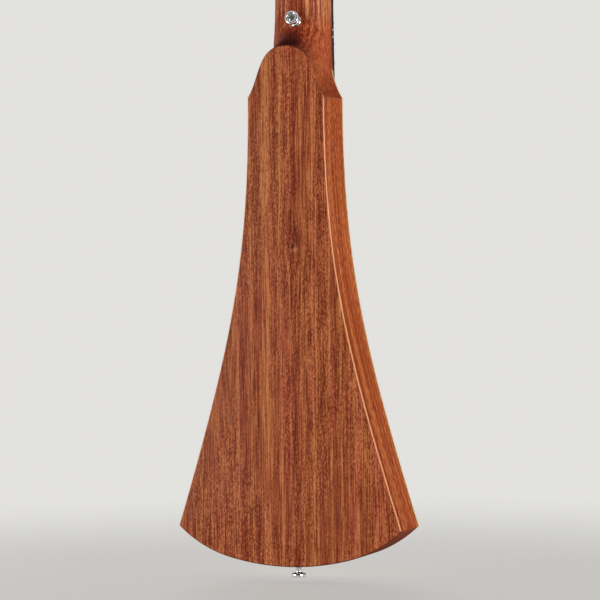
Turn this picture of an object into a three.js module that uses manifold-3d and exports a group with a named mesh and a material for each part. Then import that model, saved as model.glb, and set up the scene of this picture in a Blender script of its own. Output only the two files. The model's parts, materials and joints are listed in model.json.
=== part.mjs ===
// A travel guitar with steel strings and a narrow paddle-shaped body, standing head up.
// Millimetres. The nut is at z = 0 and the head points to +Z. The soundboard faces +Y, with its face
// at y = 0, the flat back faces -Y, and the bass side is +X.

import * as THREE from 'three';
import { mergeVertices } from 'three/addons/utils/BufferGeometryUtils.js';
import Module from 'manifold-3d';

const wasm = await Module();
wasm.setup();

// Scale and strings
const scaleLength = 609.6;
const fretCount = 15;
const octaveFrets = 12;
const stringDiameters = [0.3, 0.41, 0.61, 0.81, 1.07, 1.35];
const plainStrings = 2;
const nutStringSpan = 36.4;
const saddleStringSpan = 54;
const nutAction = 0.5;
const octaveAction = 2.2;

// Body
const bodyDepth = 50.8;
const shoulderWidth = 70.2;
const cornerWidth = 204.4;
const sideDrop = 371.8;
const sideEndAngle = THREE.MathUtils.degToRad(17.5);
const sideLeadShares = [0.377, 0.449];
const tailSagitta = 33.7;
const tailMiddleRadius = 215;
const tailBendWidth = 110;
const soundboardThickness = 2.5;
const backThickness = 2.8;
const backEdgeRadius = 1.8;
const sideThickness = 2.3;
const tailRibThickness = 4.5;
const soundHoleDiameter = 50.8;
const soundHoleDrop = 95;

// Neck, heel and head
const nutWidth = 42.9;
const lastFretWidth = 51.6;
const neckDepthAtNut = 16.5;
const neckDepthAtHeel = 22.5;
const neckPower = 2.7;
const heelPower = 4;
const headPower = 8;
const headBlendLength = 26;
const spineWidth = 3;
const heelCurveLength = 34;
const noseLength = 44.9;
const noseStartShare = 0.267;
const nosePower = 2.3;
const flareLength = 34;
const flarePower = 2.2;
const soundboardTongue = 25.3;
const heelBlockLength = 32;
const wallShare = 0.995;
const headTilt = THREE.MathUtils.degToRad(12);
const headThickness = 14;
const headLength = 110;
const headEarWidth = 62;
const headEarPlace = 21;
const headTopWidth = 54;
const headCornerRadius = 7;
const headCrown = 3;

// Fingerboard, frets and nut
const fingerboardThickness = 6;
const fingerboardOverhang = 4.5;
const fretWidth = 2;
const fretHeight = 1;
const fretSides = 4;
const nutThickness = 5;
const nutRim = 0.6;

// Reinforcing rod
const rodWidth = 6;
const rodHeight = 9;
const rodStart = 12;
const rodEndGap = 11.3;

// Bridge, saddle and pins
const bridgeWidth = 118;
const bridgeLength = 29;
const bridgeThickness = 7.5;
const bridgeWingHeight = 3.5;
const bridgeBlockWidth = 72;
const bridgeWingRun = 12;
const bridgeCornerRadius = 9;
const saddleThickness = 3;
const saddleLength = 68;
const saddleSlotDepth = 4;
const saddleFromFront = 8;
const trebleSetback = 1.2;
const bassSetback = 3.6;
const pinSetback = 16;
const pinHoleDiameter = 5.2;
const pinDiameter = 4.4;
const pinHeadDiameter = 7.2;
const pinHeadHeight = 3.2;
const pinFluteShare = 0.63;
const pinRimShare = 0.33;
const pinCrownShare = 0.5;
const stringBendDepth = 2.4;
const ballDiameter = 3.8;
const ballLength = 3.2;
const bridgePlateWidth = 64;
const bridgePlateLength = 36;
const bridgePlateThickness = 2.5;

// Braces, linings and blocks
const braceWidth = 8;
const braceHeight = 11;
const braceTopShares = [0.5, 0.38, 0];
const braceRiseShares = [0, 0.7, 1];
const braceEndShare = 0.25;
const braceScoopShare = 0.16;
const crossBraceDrop = 46;
const legHoleGap = 10.6;
const legPlateGap = 4;
const legSplay = THREE.MathUtils.degToRad(11.5);
const legBlockGap = 8.6;
const backBraceDrops = [112, 262];
const liningWidth = 5;
const liningDepth = 11;
const liningTipDepth = 3;
const liningEndShare = 0.95;
const tailBlockWidth = 76;
const tailBlockLength = 20;

// Strap buttons and their screws
const buttonBaseDiameter = 10.6;
const buttonWaistDiameter = 5.8;
const buttonHeadDiameter = 12.4;
const buttonHeight = 10.8;
const buttonBaseHeight = 1.3;
const buttonWaistShares = [0.33, 0.56];
const buttonRimShares = [0.72, 0.8, 0.93];
const buttonFaceShare = 0.82;
const recessDiameter = 7.4;
const recessDepth = 2.6;
const screwShankDiameter = 3.4;
const screwHeadDiameter = 6.4;
const screwHeadHeight = 1.9;
const screwRimShare = 0.33;
const heelScrewLength = 18;
const tailScrewLength = 27;
const screwTipLength = 5;
const crossWidth = 0.9;
const crossLength = 3.6;
const crossDepth = 1.1;
const heelButtonShare = 0.345;
const spotFaceDepth = 0.5;

// Tuning machines
const gearTeeth = 14;
const gearModule = 0.7;
const wormPitchRadius = 2.3;
const wormLength = 7.4;
const gearFace = 3;
const toothRootShare = 0.415;
const toothTipShare = 0.17;
const threadFootShare = 0.72;
const threadCrestShare = 0.18;
const rootClearance = 0.25;
const postRows = 3;
const postSpacing = 29;
const firstPostPlace = 27;
const postInset = 11.5;
const plateLength = 27;
const plateWidth = 12.4;
const plateThickness = 1.2;
const plateSetShare = 0.57;
const plateCornerRadius = 3;
const plateScrewDiameter = 2;
const plateScrewInset = 2.4;
const earThickness = 1.4;
const earWidth = 6.4;
const shaftDiameter = 3;
const shaftStub = 0.6;
const collarDiameter = 4.6;
const collarLength = 2.2;
const buttonStandoff = 14;
const knobLength = 15;
const knobWidth = 12;
const knobThickness = 6;
const knobPower = 0.67;
const postDiameter = 6;
const postWaistDiameter = 5.4;
const postHeight = 11.5;
const postRimHeight = 1.6;
const postHoleDiameter = 1.9;
const postHoleDrop = 3.1;
const postCapHeight = 0.8;
const gearHubDiameter = 7.6;
const gearCapShare = 0.67;
const windTurns = 2.55;
const windPitchGap = 0.5;

// Clearances
const glueLine = 0.1;
const stringGap = 0.15;
const seatGap = 0.3;
const runningGap = 0.25;
const overrun = 3;

// Fineness of curved surfaces
const sideSteps = 18;
const tailSteps = 10;
const sectionSteps = 8;
const heelSteps = 7;
const noseSteps = 7;
const flareSteps = 4;
const headBlendSteps = 4;
const halvings = 24;
const curveSteps = 5;
const edgeSteps = 2;
const holeSides = 32;
const boreSides = 12;
const postSides = 10;
const buttonSides = 20;
const wireSides = 5;
const windSteps = 14;
const threadSteps = 10;

// Places worked out from the sizes above
const stringCount = stringDiameters.length;
const shoulderZ = fretPlace(fretCount);
const cornerZ = shoulderZ - sideDrop;
const tailZ = cornerZ - tailSagitta;
const backInsideY = backThickness - bodyDepth;
const saddleZ = -scaleLength;
const pinZ = saddleZ - pinSetback;
const fretTopY = fingerboardThickness + fretHeight;
const nutSlotY = fretTopY + nutAction;
const saddleTopY = fretTopY + 2 * octaveAction - nutAction;
const noseTipZ = shoulderZ + noseLength;
const tongueZ = shoulderZ + soundboardTongue;
const tailBlockZ = tailZ + tailRibThickness + seatGap + tailBlockLength;
const rodEndZ = tongueZ + rodEndGap;
const heelStartZ = noseTipZ + heelCurveLength;
const heelDepth = -(backInsideY + glueLine);
const thickestString = Math.max(...stringDiameters);

// Finishes of the separate materials
const finishes = {
  backWood: { color: 0x7a4427, roughness: 0.5, metalness: 0 },
  sideWood: { color: 0x8a4c2a, roughness: 0.45, metalness: 0 },
  neckWood: { color: 0x8b5a38, roughness: 0.5, metalness: 0 },
  spruce: { color: 0xdcc08a, roughness: 0.5, metalness: 0 },
  braceWood: { color: 0xd2b683, roughness: 0.8, metalness: 0 },
  blackComposite: { color: 0x17181a, roughness: 0.5, metalness: 0 },
  bone: { color: 0xe9e2cf, roughness: 0.4, metalness: 0 },
  chrome: { color: 0xc8cbd0, roughness: 0.15, metalness: 1 },
  steel: { color: 0x9c9fa4, roughness: 0.35, metalness: 1 },
  bronze: { color: 0xa9733a, roughness: 0.35, metalness: 1 },
};

// Distance of a fret from the nut, downwards
function fretPlace(fret) {
  return -scaleLength * (1 - 2 ** (-fret / octaveFrets));
}

// Solids, joins and cuts

function solidOf(geometry) {
  const bare = geometry.index ? geometry.toNonIndexed() : geometry.clone();
  bare.deleteAttribute('normal');
  bare.deleteAttribute('uv');
  const merged = mergeVertices(bare);
  return new wasm.Manifold(new wasm.Mesh({
    numProp: 3,
    vertProperties: Float32Array.from(merged.attributes.position.array),
    triVerts: Uint32Array.from(merged.index.array),
  }));
}

function geometryOf(solid) {
  const mesh = solid.getMesh();
  const geometry = new THREE.BufferGeometry();
  geometry.setAttribute('position', new THREE.BufferAttribute(mesh.vertProperties, 3));
  geometry.setIndex(new THREE.BufferAttribute(mesh.triVerts, 1));
  return geometry;
}

function cut(body, ...tools) {
  const solid = tools.reduce((left, tool) => left.subtract(solidOf(tool)), solidOf(body));
  return geometryOf(solid);
}

function join(...bodies) {
  const solid = bodies.slice(1).reduce((sum, body) => sum.add(solidOf(body)), solidOf(bodies[0]));
  return geometryOf(solid);
}

function common(first, second) {
  return geometryOf(solidOf(first).intersect(solidOf(second)));
}

function box(low, high) {
  const size = high.clone().sub(low);
  const middle = low.clone().add(high).multiplyScalar(0.5);
  return new THREE.BoxGeometry(size.x, size.y, size.z).translate(middle.x, middle.y, middle.z);
}

// A flat piece: an outline of (x, z) points, from one y to another
function slab(outline, lowY, highY, holes = []) {
  const shape = outline instanceof THREE.Shape ? outline : new THREE.Shape(outline);
  shape.holes.push(...holes);
  const settings = { depth: highY - lowY, bevelEnabled: false, curveSegments: curveSteps };
  return new THREE.ExtrudeGeometry(shape, settings).rotateX(Math.PI / 2).translate(0, highY, 0);
}

// A rod along one axis, from a low place to a high place on it
function rodAlong(axis, radius, low, high, sides = boreSides) {
  const rod = new THREE.CylinderGeometry(radius, radius, high - low, sides).translate(0, (low + high) / 2, 0);
  if (axis === 'x') rod.rotateZ(-Math.PI / 2);
  if (axis === 'z') rod.rotateX(Math.PI / 2);
  return rod;
}

// A turned piece about Y, from [radius, height] pairs
function turned(profile, sides) {
  return new THREE.LatheGeometry(profile.map(([radius, height]) => new THREE.Vector2(radius, height)), sides);
}

// Triangles that close a ring, which may be hollow in outline but lies in a plane
function capTriangles(ring) {
  const normal = new THREE.Vector3();
  ring.forEach((point, index) => normal.add(point.clone().cross(ring[(index + 1) % ring.length])));
  normal.normalize();
  const across = ring[1].clone().sub(ring[0]).normalize();
  const along = normal.clone().cross(across);
  const flat = ring.map((point) => new THREE.Vector2(point.dot(across), point.dot(along)));
  const triangles = THREE.ShapeUtils.triangulateShape(flat, []);
  const turns = triangles.map(([a, b, c]) => THREE.ShapeUtils.area([flat[a], flat[b], flat[c]]));
  return triangles.map((triangle, index) => (turns[index] > 0 ? triangle : triangle.slice().reverse()));
}

// A closed skin over rings of equally many points
function loft(rings) {
  const count = rings[0].length;
  const positions = rings.flat().flatMap((point) => point.toArray());
  const faces = [];
  for (let row = 0; row + 1 < rings.length; row += 1) {
    for (let column = 0; column < count; column += 1) {
      const next = (column + 1) % count;
      const here = row * count;
      const there = here + count;
      faces.push([here + column, here + next, there + next], [here + column, there + next, there + column]);
    }
  }
  const last = (rings.length - 1) * count;
  capTriangles(rings[0]).forEach(([a, b, c]) => faces.push([c, b, a]));
  capTriangles(rings[rings.length - 1]).forEach(([a, b, c]) => faces.push([last + a, last + b, last + c]));
  const corner = (index) => new THREE.Vector3().fromArray(positions, 3 * index);
  const volume = faces.reduce((sum, [a, b, c]) => sum + corner(a).dot(corner(b).cross(corner(c))), 0);
  const outward = volume > 0 ? faces : faces.map((face) => face.slice().reverse());
  const geometry = new THREE.BufferGeometry();
  geometry.setAttribute('position', new THREE.Float32BufferAttribute(positions, 3));
  geometry.setIndex(outward.flat());
  return geometry;
}

// A round wire through a list of points, with mitred bends
function wire(points, radius, sides = wireSides) {
  const directions = points.slice(1).map((point, index) => point.clone().sub(points[index]).normalize());
  let across = new THREE.Vector3(1, 0, 0);
  const rings = points.map((point, index) => {
    const before = directions[Math.max(index - 1, 0)];
    const after = directions[Math.min(index, directions.length - 1)];
    const tangent = before.clone().add(after).normalize();
    across = across.clone().addScaledVector(before, -across.dot(before)).normalize();
    const along = before.clone().cross(across);
    const ring = [];
    for (let side = 0; side < sides; side += 1) {
      const angle = (2 * Math.PI * side) / sides;
      const spoke = across.clone().multiplyScalar(Math.cos(angle)).addScaledVector(along, Math.sin(angle));
      const slide = -spoke.dot(tangent) / before.dot(tangent);
      ring.push(point.clone().addScaledVector(spoke, radius).addScaledVector(before, radius * slide));
    }
    across = across.addScaledVector(after, -across.dot(after)).normalize();
    return ring;
  });
  return loft(rings);
}

const parts = new THREE.Group();
const head = new THREE.Group();
head.position.z = nutThickness;
head.rotation.x = headTilt;
head.updateMatrix();
parts.add(head);

function place(parent, name, geometry, finish) {
  const solid = geometry.index ? geometry.toNonIndexed() : geometry;
  solid.computeVertexNormals();
  const mesh = new THREE.Mesh(solid, new THREE.MeshStandardMaterial(finishes[finish]));
  mesh.name = name;
  parent.add(mesh);
  return mesh;
}

// Outline of the body

const sideCurve = new THREE.CubicBezierCurve(
  new THREE.Vector2(shoulderWidth / 2, shoulderZ),
  new THREE.Vector2(shoulderWidth / 2, shoulderZ - sideLeadShares[0] * sideDrop),
  new THREE.Vector2(
    cornerWidth / 2 - sideLeadShares[1] * sideDrop * Math.sin(sideEndAngle),
    cornerZ + sideLeadShares[1] * sideDrop * Math.cos(sideEndAngle),
  ),
  new THREE.Vector2(cornerWidth / 2, cornerZ),
);

// A point on the bass side, moved inwards by an inset
function sidePoint(share, inset) {
  const point = sideCurve.getPoint(share);
  const tangent = sideCurve.getTangent(share);
  return new THREE.Vector2(point.x + tangent.y * inset, point.y - tangent.x * inset);
}

// The tail is a flat middle arc with a tighter arc to each corner, tangent to it where the bend starts
const tailMiddle = new THREE.Vector2(0, tailZ + tailMiddleRadius);
const tailBendAngle = Math.asin(tailBendWidth / 2 / tailMiddleRadius);
const tailBendCentre = tailMiddle.clone().add(downwards(tailBendAngle).multiplyScalar(tailBendShift()));

// Unit vector at an angle from straight down, towards the bass side
function downwards(angle) {
  return new THREE.Vector2(Math.sin(angle), -Math.cos(angle));
}

// How far apart the centres of the two arcs lie, so that the tighter one meets the corner
function tailBendShift() {
  const corner = new THREE.Vector2(cornerWidth / 2, cornerZ).sub(tailMiddle);
  const along = corner.dot(downwards(tailBendAngle));
  return (corner.lengthSq() - tailMiddleRadius ** 2) / (2 * (along - tailMiddleRadius));
}

// Centre and radius of the tail's arc that a ray at an angle from the middle centre meets
function tailArcAt(angle) {
  if (angle <= tailBendAngle) return { centre: tailMiddle, radius: tailMiddleRadius };
  return { centre: tailBendCentre, radius: tailMiddleRadius - tailBendCentre.distanceTo(tailMiddle) };
}

// How far a point lies outside the tail
function outsideTail(point) {
  const { centre, radius } = tailArcAt(Math.atan2(point.x, tailMiddle.y - point.y));
  return point.distanceTo(centre) - radius;
}

// The bass half of the body's outline, from the shoulder to the middle of the tail
function halfOutline(sideInset, tailInset) {
  const points = [];
  let before = null;
  for (let step = 0; step <= sideSteps; step += 1) {
    const point = sidePoint(step / sideSteps, sideInset);
    const excess = outsideTail(point) + tailInset;
    const inTail = point.y < cornerZ + tailSagitta && excess >= 0;
    if (inTail || (step === sideSteps && before)) {
      const earlier = outsideTail(before) + tailInset;
      points.push(before.clone().lerp(point, earlier / (earlier - excess)));
      break;
    }
    points.push(point);
    before = point;
  }
  const corner = points[points.length - 1].clone().sub(tailBendCentre);
  const start = Math.atan2(corner.x, -corner.y);
  for (let step = 1; step <= tailSteps; step += 1) {
    const angle = start * (1 - step / tailSteps);
    const { centre, radius } = tailArcAt(angle);
    points.push(centre.clone().add(downwards(angle).multiplyScalar(radius - tailInset)));
  }
  return points;
}

function sideCount(outline) {
  return outline.length - tailSteps;
}

function mirrored(points) {
  return points.map((point) => new THREE.Vector2(-point.x, point.y));
}

// A half outline and its mirror image, closed along the middle
function bothHalves(half) {
  return [...half, ...mirrored(half).reverse().filter((point) => Math.abs(point.x) > Number.EPSILON)];
}

function halfWidthAt(z, inset) {
  for (let step = 1; step <= sideSteps; step += 1) {
    const high = sidePoint((step - 1) / sideSteps, inset);
    const low = sidePoint(step / sideSteps, inset);
    if (z >= low.y || step === sideSteps) return high.lerp(low, (high.y - z) / (high.y - low.y)).x;
  }
  return cornerWidth / 2;
}

// Widths of the neck and of the flare that joins it to the body

function neckHalfWidth(z) {
  return (nutWidth + ((lastFretWidth - nutWidth) * Math.max(-z, 0)) / -shoulderZ) / 2;
}

function frontHalfWidth(z) {
  const share = THREE.MathUtils.clamp(1 - (z - shoulderZ) / flareLength, 0, 1);
  return neckHalfWidth(z) + (shoulderWidth / 2 - neckHalfWidth(z)) * share ** flarePower;
}

function noseShare(z) {
  const start = noseStartShare * noseLength;
  return THREE.MathUtils.clamp((z - shoulderZ - start) / (noseLength - start), 0, 1);
}

function backHalfWidth(z) {
  return frontHalfWidth(z) * (1 - noseShare(z) ** nosePower) ** (1 / nosePower);
}

// Heights along the nose, close together where it is round
function nosePlaces() {
  const start = noseStartShare * noseLength;
  const places = [];
  for (let step = 0; step <= noseSteps; step += 1) {
    const share = Math.cos((Math.PI / 2) * (step / noseSteps)) ** (2 / nosePower);
    places.push(shoulderZ + start + (noseLength - start) * share);
  }
  for (let step = 1; step <= flareSteps; step += 1) {
    places.push(shoulderZ + start * (1 - step / flareSteps));
  }
  return places;
}

// How far the heel has risen at a height on the middle line: a quarter of an ellipse from 0 to 1
function heelRise(z) {
  const share = THREE.MathUtils.clamp((heelStartZ - z) / heelCurveLength, 0, 1);
  return 1 - Math.sqrt(1 - share ** 2);
}

function plainNeckDepth(z) {
  return THREE.MathUtils.lerp(neckDepthAtNut, neckDepthAtHeel, THREE.MathUtils.clamp(z / heelStartZ, 0, 1));
}

function neckDepth(z) {
  return THREE.MathUtils.lerp(plainNeckDepth(z), heelDepth, heelRise(z));
}

// Power of the neck's rounded back: squarer into the head, and a little fuller towards the heel
function neckRoundness(z) {
  const headShare = THREE.MathUtils.clamp(1 + z / headBlendLength, 0, 1);
  const heelShare = THREE.MathUtils.clamp((heelStartZ - z) / heelCurveLength, 0, 1);
  return neckPower + (headPower - neckPower) * headShare ** 2 + (heelPower - neckPower) * heelShare ** 2;
}

// Depth of the neck beside the middle line. The neck has a rounded back, and the heel rises out of it
// in arches that keep the proportions of the nose, so that its cheeks run smoothly into the neck.
function depthBeside(x, z) {
  const share = Math.min(x / frontHalfWidth(z), 1);
  const power = neckRoundness(z);
  const rounded = plainNeckDepth(z) * (1 - share ** power) ** (1 / power);
  const archShare = (1 - share ** nosePower) ** (1 / nosePower);
  const start = shoulderZ + noseStartShare * noseLength;
  const archZ = z > start ? start + (z - start) / Math.max(archShare, Number.EPSILON) : z;
  return THREE.MathUtils.lerp(rounded, heelDepth, heelRise(archZ));
}

// Half width of the neck at a depth, found by halving
function halfWidthAtDepth(depth, z) {
  let low = 0;
  let high = frontHalfWidth(z);
  for (let step = 0; step < halvings; step += 1) {
    const middle = (low + high) / 2;
    if (depthBeside(middle, z) >= depth) low = middle;
    else high = middle;
  }
  return low;
}

// One section of the neck, with a narrow flat along its spine and cheeks that curve in a little
function neckSection(z) {
  const power = neckRoundness(z);
  const half = [];
  for (let step = 0; step <= sectionSteps; step += 1) {
    const depth = neckDepth(z) * Math.sin((Math.PI / 2) * (step / sectionSteps)) ** (2 / power);
    const widest = frontHalfWidth(z) * THREE.MathUtils.lerp(1, wallShare, (depth / heelDepth) ** 2);
    const x = Math.min(halfWidthAtDepth(depth, z), widest);
    half.push(new THREE.Vector3(Math.max(x, spineWidth / 2), -depth, z));
  }
  const other = half.map((point) => new THREE.Vector3(-point.x, point.y, z)).reverse();
  return [...half, ...other];
}

// Headstock: outline in its own tilted plane
function headHalfWidthAt(place) {
  const share = (place - headEarPlace) / (headLength - headEarPlace);
  return THREE.MathUtils.lerp(headEarWidth, headTopWidth, share) / 2;
}

function headOutline() {
  const start = nutWidth / 2;
  const ear = headEarWidth / 2;
  const top = headTopWidth / 2;
  const bend = headEarPlace / 2;
  const shape = new THREE.Shape();
  shape.moveTo(-start, 0);
  shape.lineTo(start, 0);
  shape.bezierCurveTo(start, bend, ear, bend, ear, headEarPlace);
  shape.lineTo(top, headLength - headCornerRadius);
  shape.quadraticCurveTo(top, headLength, top - headCornerRadius, headLength);
  shape.quadraticCurveTo(0, headLength + 2 * headCrown, headCornerRadius - top, headLength);
  shape.quadraticCurveTo(-top, headLength, -top, headLength - headCornerRadius);
  shape.lineTo(-ear, headEarPlace);
  shape.bezierCurveTo(-ear, bend, -start, bend, -start, 0);
  return shape;
}

// Post of a string, in the head's plane. Strings 1 to 3 are on the treble side, 4 to 6 on the bass side.
function postPlace(number) {
  const side = number > postRows ? 1 : -1;
  const row = side > 0 ? 2 * postRows - number : number - 1;
  const along = firstPostPlace + row * postSpacing;
  return { side, x: side * (headHalfWidthAt(along) - postInset), along };
}

const stringNumbers = stringDiameters.map((diameter, index) => index + 1);

// Seat of the strap button on the heel, square to the curve there
const heelButtonZ = heelStartZ - heelButtonShare * heelCurveLength;
const heelButtonSlope = Math.atan2(
  (heelDepth - neckDepthAtHeel) * heelButtonShare,
  heelCurveLength * Math.sqrt(1 - heelButtonShare ** 2),
);
const heelButtonFrame = new THREE.Matrix4()
  .makeRotationX(Math.PI - heelButtonSlope)
  .setPosition(0, -neckDepth(heelButtonZ), heelButtonZ);
const tailButtonFrame = new THREE.Matrix4()
  .makeRotationX(-Math.PI / 2)
  .setPosition(0, -bodyDepth / 2, tailZ);

// A pilot hole for a screw that goes through a strap button
function screwHole(frame, screwLength) {
  const reach = screwLength - buttonHeight + recessDepth + spotFaceDepth + seatGap;
  return rodAlong('y', screwShankDiameter / 2 + seatGap, -reach, overrun).applyMatrix4(frame);
}

// Neck with heel and headstock, carved from one piece
function neckGeometry() {
  const headBackDepth = headThickness / Math.cos(headTilt);
  const meeting = nutThickness + (neckDepthAtNut - headBackDepth) / Math.tan(headTilt);
  const places = [Math.max(meeting, nutThickness)];
  for (let step = 0; step <= headBlendSteps; step += 1) {
    places.push((-headBlendLength * step) / headBlendSteps);
  }
  for (let step = 0; step < heelSteps; step += 1) {
    places.push(heelStartZ - heelCurveLength * Math.sin((Math.PI / 2) * (step / heelSteps)));
  }
  places.push(...nosePlaces());
  const stick = loft(places.map(neckSection));
  const headSlab = slab(headOutline(), -headThickness, 0).applyMatrix4(head.matrix);
  const blockHalf = shoulderWidth / 2 - sideThickness - seatGap;
  const block = box(
    new THREE.Vector3(-blockHalf, -heelDepth, shoulderZ - heelBlockLength),
    new THREE.Vector3(blockHalf, -soundboardThickness - glueLine, shoulderZ + overrun),
  );
  const aboveHead = box(
    new THREE.Vector3(-headEarWidth, 0, 0),
    new THREE.Vector3(headEarWidth, overrun + nutWidth, headLength),
  ).applyMatrix4(head.matrix);
  const tongueSeat = box(
    new THREE.Vector3(-shoulderWidth, -soundboardThickness - glueLine, shoulderZ - heelBlockLength - overrun),
    new THREE.Vector3(shoulderWidth, overrun, tongueZ + glueLine),
  );
  const channel = box(
    new THREE.Vector3(-rodWidth / 2 - seatGap, -rodHeight - 2 * seatGap, rodEndZ - seatGap),
    new THREE.Vector3(rodWidth / 2 + seatGap, overrun, -rodStart + seatGap),
  );
  const postHoles = stringNumbers.map((number) => {
    const { x, along } = postPlace(number);
    const hole = rodAlong('y', postDiameter / 2 + seatGap, -headThickness - overrun, overrun);
    return hole.translate(x, 0, along).applyMatrix4(head.matrix);
  });
  const spotRadius = buttonBaseDiameter / 2 + seatGap;
  const spotFace = rodAlong('y', spotRadius, -spotFaceDepth, overrun + buttonHeight, buttonSides)
    .applyMatrix4(heelButtonFrame);
  const body = join(stick, headSlab, block);
  const hole = screwHole(heelButtonFrame, heelScrewLength);
  return cut(body, aboveHead, tongueSeat, channel, spotFace, hole, ...postHoles);
}

place(parts, 'neck', neckGeometry(), 'neckWood');

// Reinforcing rod in its channel under the fingerboard
place(parts, 'reinforcing_rod', box(
  new THREE.Vector3(-rodWidth / 2, -rodHeight - seatGap, rodEndZ),
  new THREE.Vector3(rodWidth / 2, -seatGap, -rodStart),
), 'steel');

// Plates of the body

function backOutline() {
  const nose = nosePlaces().slice(1, -1).map((z) => new THREE.Vector2(backHalfWidth(z), z));
  return bothHalves([new THREE.Vector2(0, noseTipZ), ...nose, ...halfOutline(0, 0)]);
}

// A closed outline moved inwards, square to its sides
function insetOutline(outline, inset) {
  return outline.map((point, index) => {
    const before = outline.at(index - 1).clone().sub(point).normalize();
    const after = outline[(index + 1) % outline.length].clone().sub(point).normalize();
    const inwards = new THREE.Vector2(before.y - after.y, after.x - before.x).normalize();
    const lean = Math.abs(inwards.cross(after));
    return point.clone().addScaledVector(inwards, -inset / lean);
  });
}

// The back's outer edge is rounded over
function backGeometry() {
  const outline = backOutline();
  const rings = [[0, backInsideY], [0, backEdgeRadius - bodyDepth]];
  for (let step = 1; step <= edgeSteps; step += 1) {
    const angle = (Math.PI / 2) * (step / edgeSteps);
    rings.push([backEdgeRadius * (1 - Math.cos(angle)), backEdgeRadius * (1 - Math.sin(angle)) - bodyDepth]);
  }
  return loft(rings.map(([inset, y]) => (
    insetOutline(outline, inset).map((point) => new THREE.Vector3(point.x, y, point.y))
  )));
}

place(parts, 'back_plate', backGeometry(), 'backWood');

function soundboardOutline() {
  const tongue = [];
  for (let step = 0; step < 2 * flareSteps; step += 1) {
    const z = tongueZ - (soundboardTongue * step) / (2 * flareSteps);
    tongue.push(new THREE.Vector2(frontHalfWidth(z), z));
  }
  return bothHalves([...tongue, ...halfOutline(0, 0)]);
}

function pinCutters(radius, lowY, highY) {
  return stringNumbers.map((number) => {
    return rodAlong('y', radius, lowY, highY).translate(stringX(number, pinZ), 0, pinZ);
  });
}

function stringX(number, z) {
  const share = (number - 1) / (stringCount - 1) - 1 / 2;
  return share * THREE.MathUtils.lerp(nutStringSpan, saddleStringSpan, z / saddleZ);
}

function soundboardGeometry() {
  const hole = rodAlong('y', soundHoleDiameter / 2, -soundboardThickness - overrun, overrun, holeSides)
    .translate(0, 0, shoulderZ - soundHoleDrop);
  const pinHoles = pinCutters(pinHoleDiameter / 2, -soundboardThickness - overrun, overrun);
  return cut(slab(soundboardOutline(), -soundboardThickness, 0), hole, ...pinHoles);
}

place(parts, 'soundboard', soundboardGeometry(), 'spruce');

// Sides and tail

function sideOutline() {
  const outer = halfOutline(0, 0);
  const inner = halfOutline(sideThickness, 0);
  const points = [...outer.slice(0, sideCount(outer)), ...inner.slice(0, sideCount(inner)).reverse()];
  return points.map((point, index) => {
    const atShoulder = index === 0 || index === points.length - 1;
    return atShoulder ? new THREE.Vector2(point.x, shoulderZ - seatGap) : point;
  });
}

const wallLowY = backInsideY + glueLine;
const wallHighY = -soundboardThickness - glueLine;
place(parts, 'side_bass', slab(sideOutline(), wallLowY, wallHighY), 'sideWood');
place(parts, 'side_treble', slab(mirrored(sideOutline()).reverse(), wallLowY, wallHighY), 'sideWood');

function tailArc(inset) {
  const outline = halfOutline(sideThickness + seatGap, inset);
  return outline.slice(sideCount(outline) - 1);
}

function tailRibGeometry() {
  const outer = tailArc(0);
  const inner = tailArc(tailRibThickness);
  const across = (arc) => [...arc, ...mirrored(arc).reverse().slice(1)];
  const rib = slab([...across(outer), ...across(inner).reverse()], wallLowY, wallHighY);
  return cut(rib, screwHole(tailButtonFrame, tailScrewLength));
}

place(parts, 'tail_rib', tailRibGeometry(), 'sideWood');

function tailBlockGeometry() {
  const inset = tailRibThickness + seatGap;
  const inside = slab(bothHalves(halfOutline(sideThickness + seatGap, inset)), wallLowY, wallHighY);
  const block = box(
    new THREE.Vector3(-tailBlockWidth / 2, wallLowY - overrun, tailZ),
    new THREE.Vector3(tailBlockWidth / 2, wallHighY + overrun, tailBlockZ),
  );
  return cut(common(inside, block), screwHole(tailButtonFrame, tailScrewLength));
}

place(parts, 'tail_block', tailBlockGeometry(), 'neckWood');

// Linings that join the sides to the plates

function liningGeometry(side, plateY, inwards) {
  const insetNear = sideThickness + seatGap;
  const insetFar = insetNear + liningWidth;
  const profile = [
    [insetNear, plateY],
    [insetFar, plateY],
    [insetFar, plateY + inwards * liningTipDepth],
    [insetNear, plateY + inwards * liningDepth],
  ];
  const startZ = shoulderZ - heelBlockLength - seatGap;
  const rings = [];
  for (let step = 0; step <= sideSteps; step += 1) {
    const share = (liningEndShare * step) / sideSteps;
    if (sidePoint(share, 0).y < startZ) {
      rings.push(profile.map(([inset, y]) => {
        const point = sidePoint(share, inset);
        return new THREE.Vector3(side * point.x, y, point.y);
      }));
    }
  }
  return loft(rings);
}

for (const [sideName, side] of [['bass', 1], ['treble', -1]]) {
  place(parts, `lining_top_${sideName}`, liningGeometry(side, wallHighY, -1), 'braceWood');
  place(parts, `lining_back_${sideName}`, liningGeometry(side, wallLowY, 1), 'braceWood');
}

// Braces: bars with a rounded top and scooped ends

function brace(start, end, inwards) {
  const along = end.clone().sub(start);
  const across = new THREE.Vector3(0, 1, 0).cross(along).normalize();
  const shares = [0, braceEndShare, 1 - braceEndShare, 1];
  const heights = [braceHeight * braceScoopShare, braceHeight, braceHeight, braceHeight * braceScoopShare];
  return loft(shares.map((share, index) => {
    const centre = start.clone().addScaledVector(along, share);
    const half = braceTopShares.map((width, level) => [
      braceWidth * width,
      inwards * heights[index] * braceRiseShares[level],
    ]);
    const other = half.slice(0, -1).map(([width, rise]) => [-width, rise]).reverse();
    return [...half, ...other].map(([width, rise]) => (
      centre.clone().addScaledVector(across, width).add(new THREE.Vector3(0, rise, 0))
    ));
  }));
}

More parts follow.
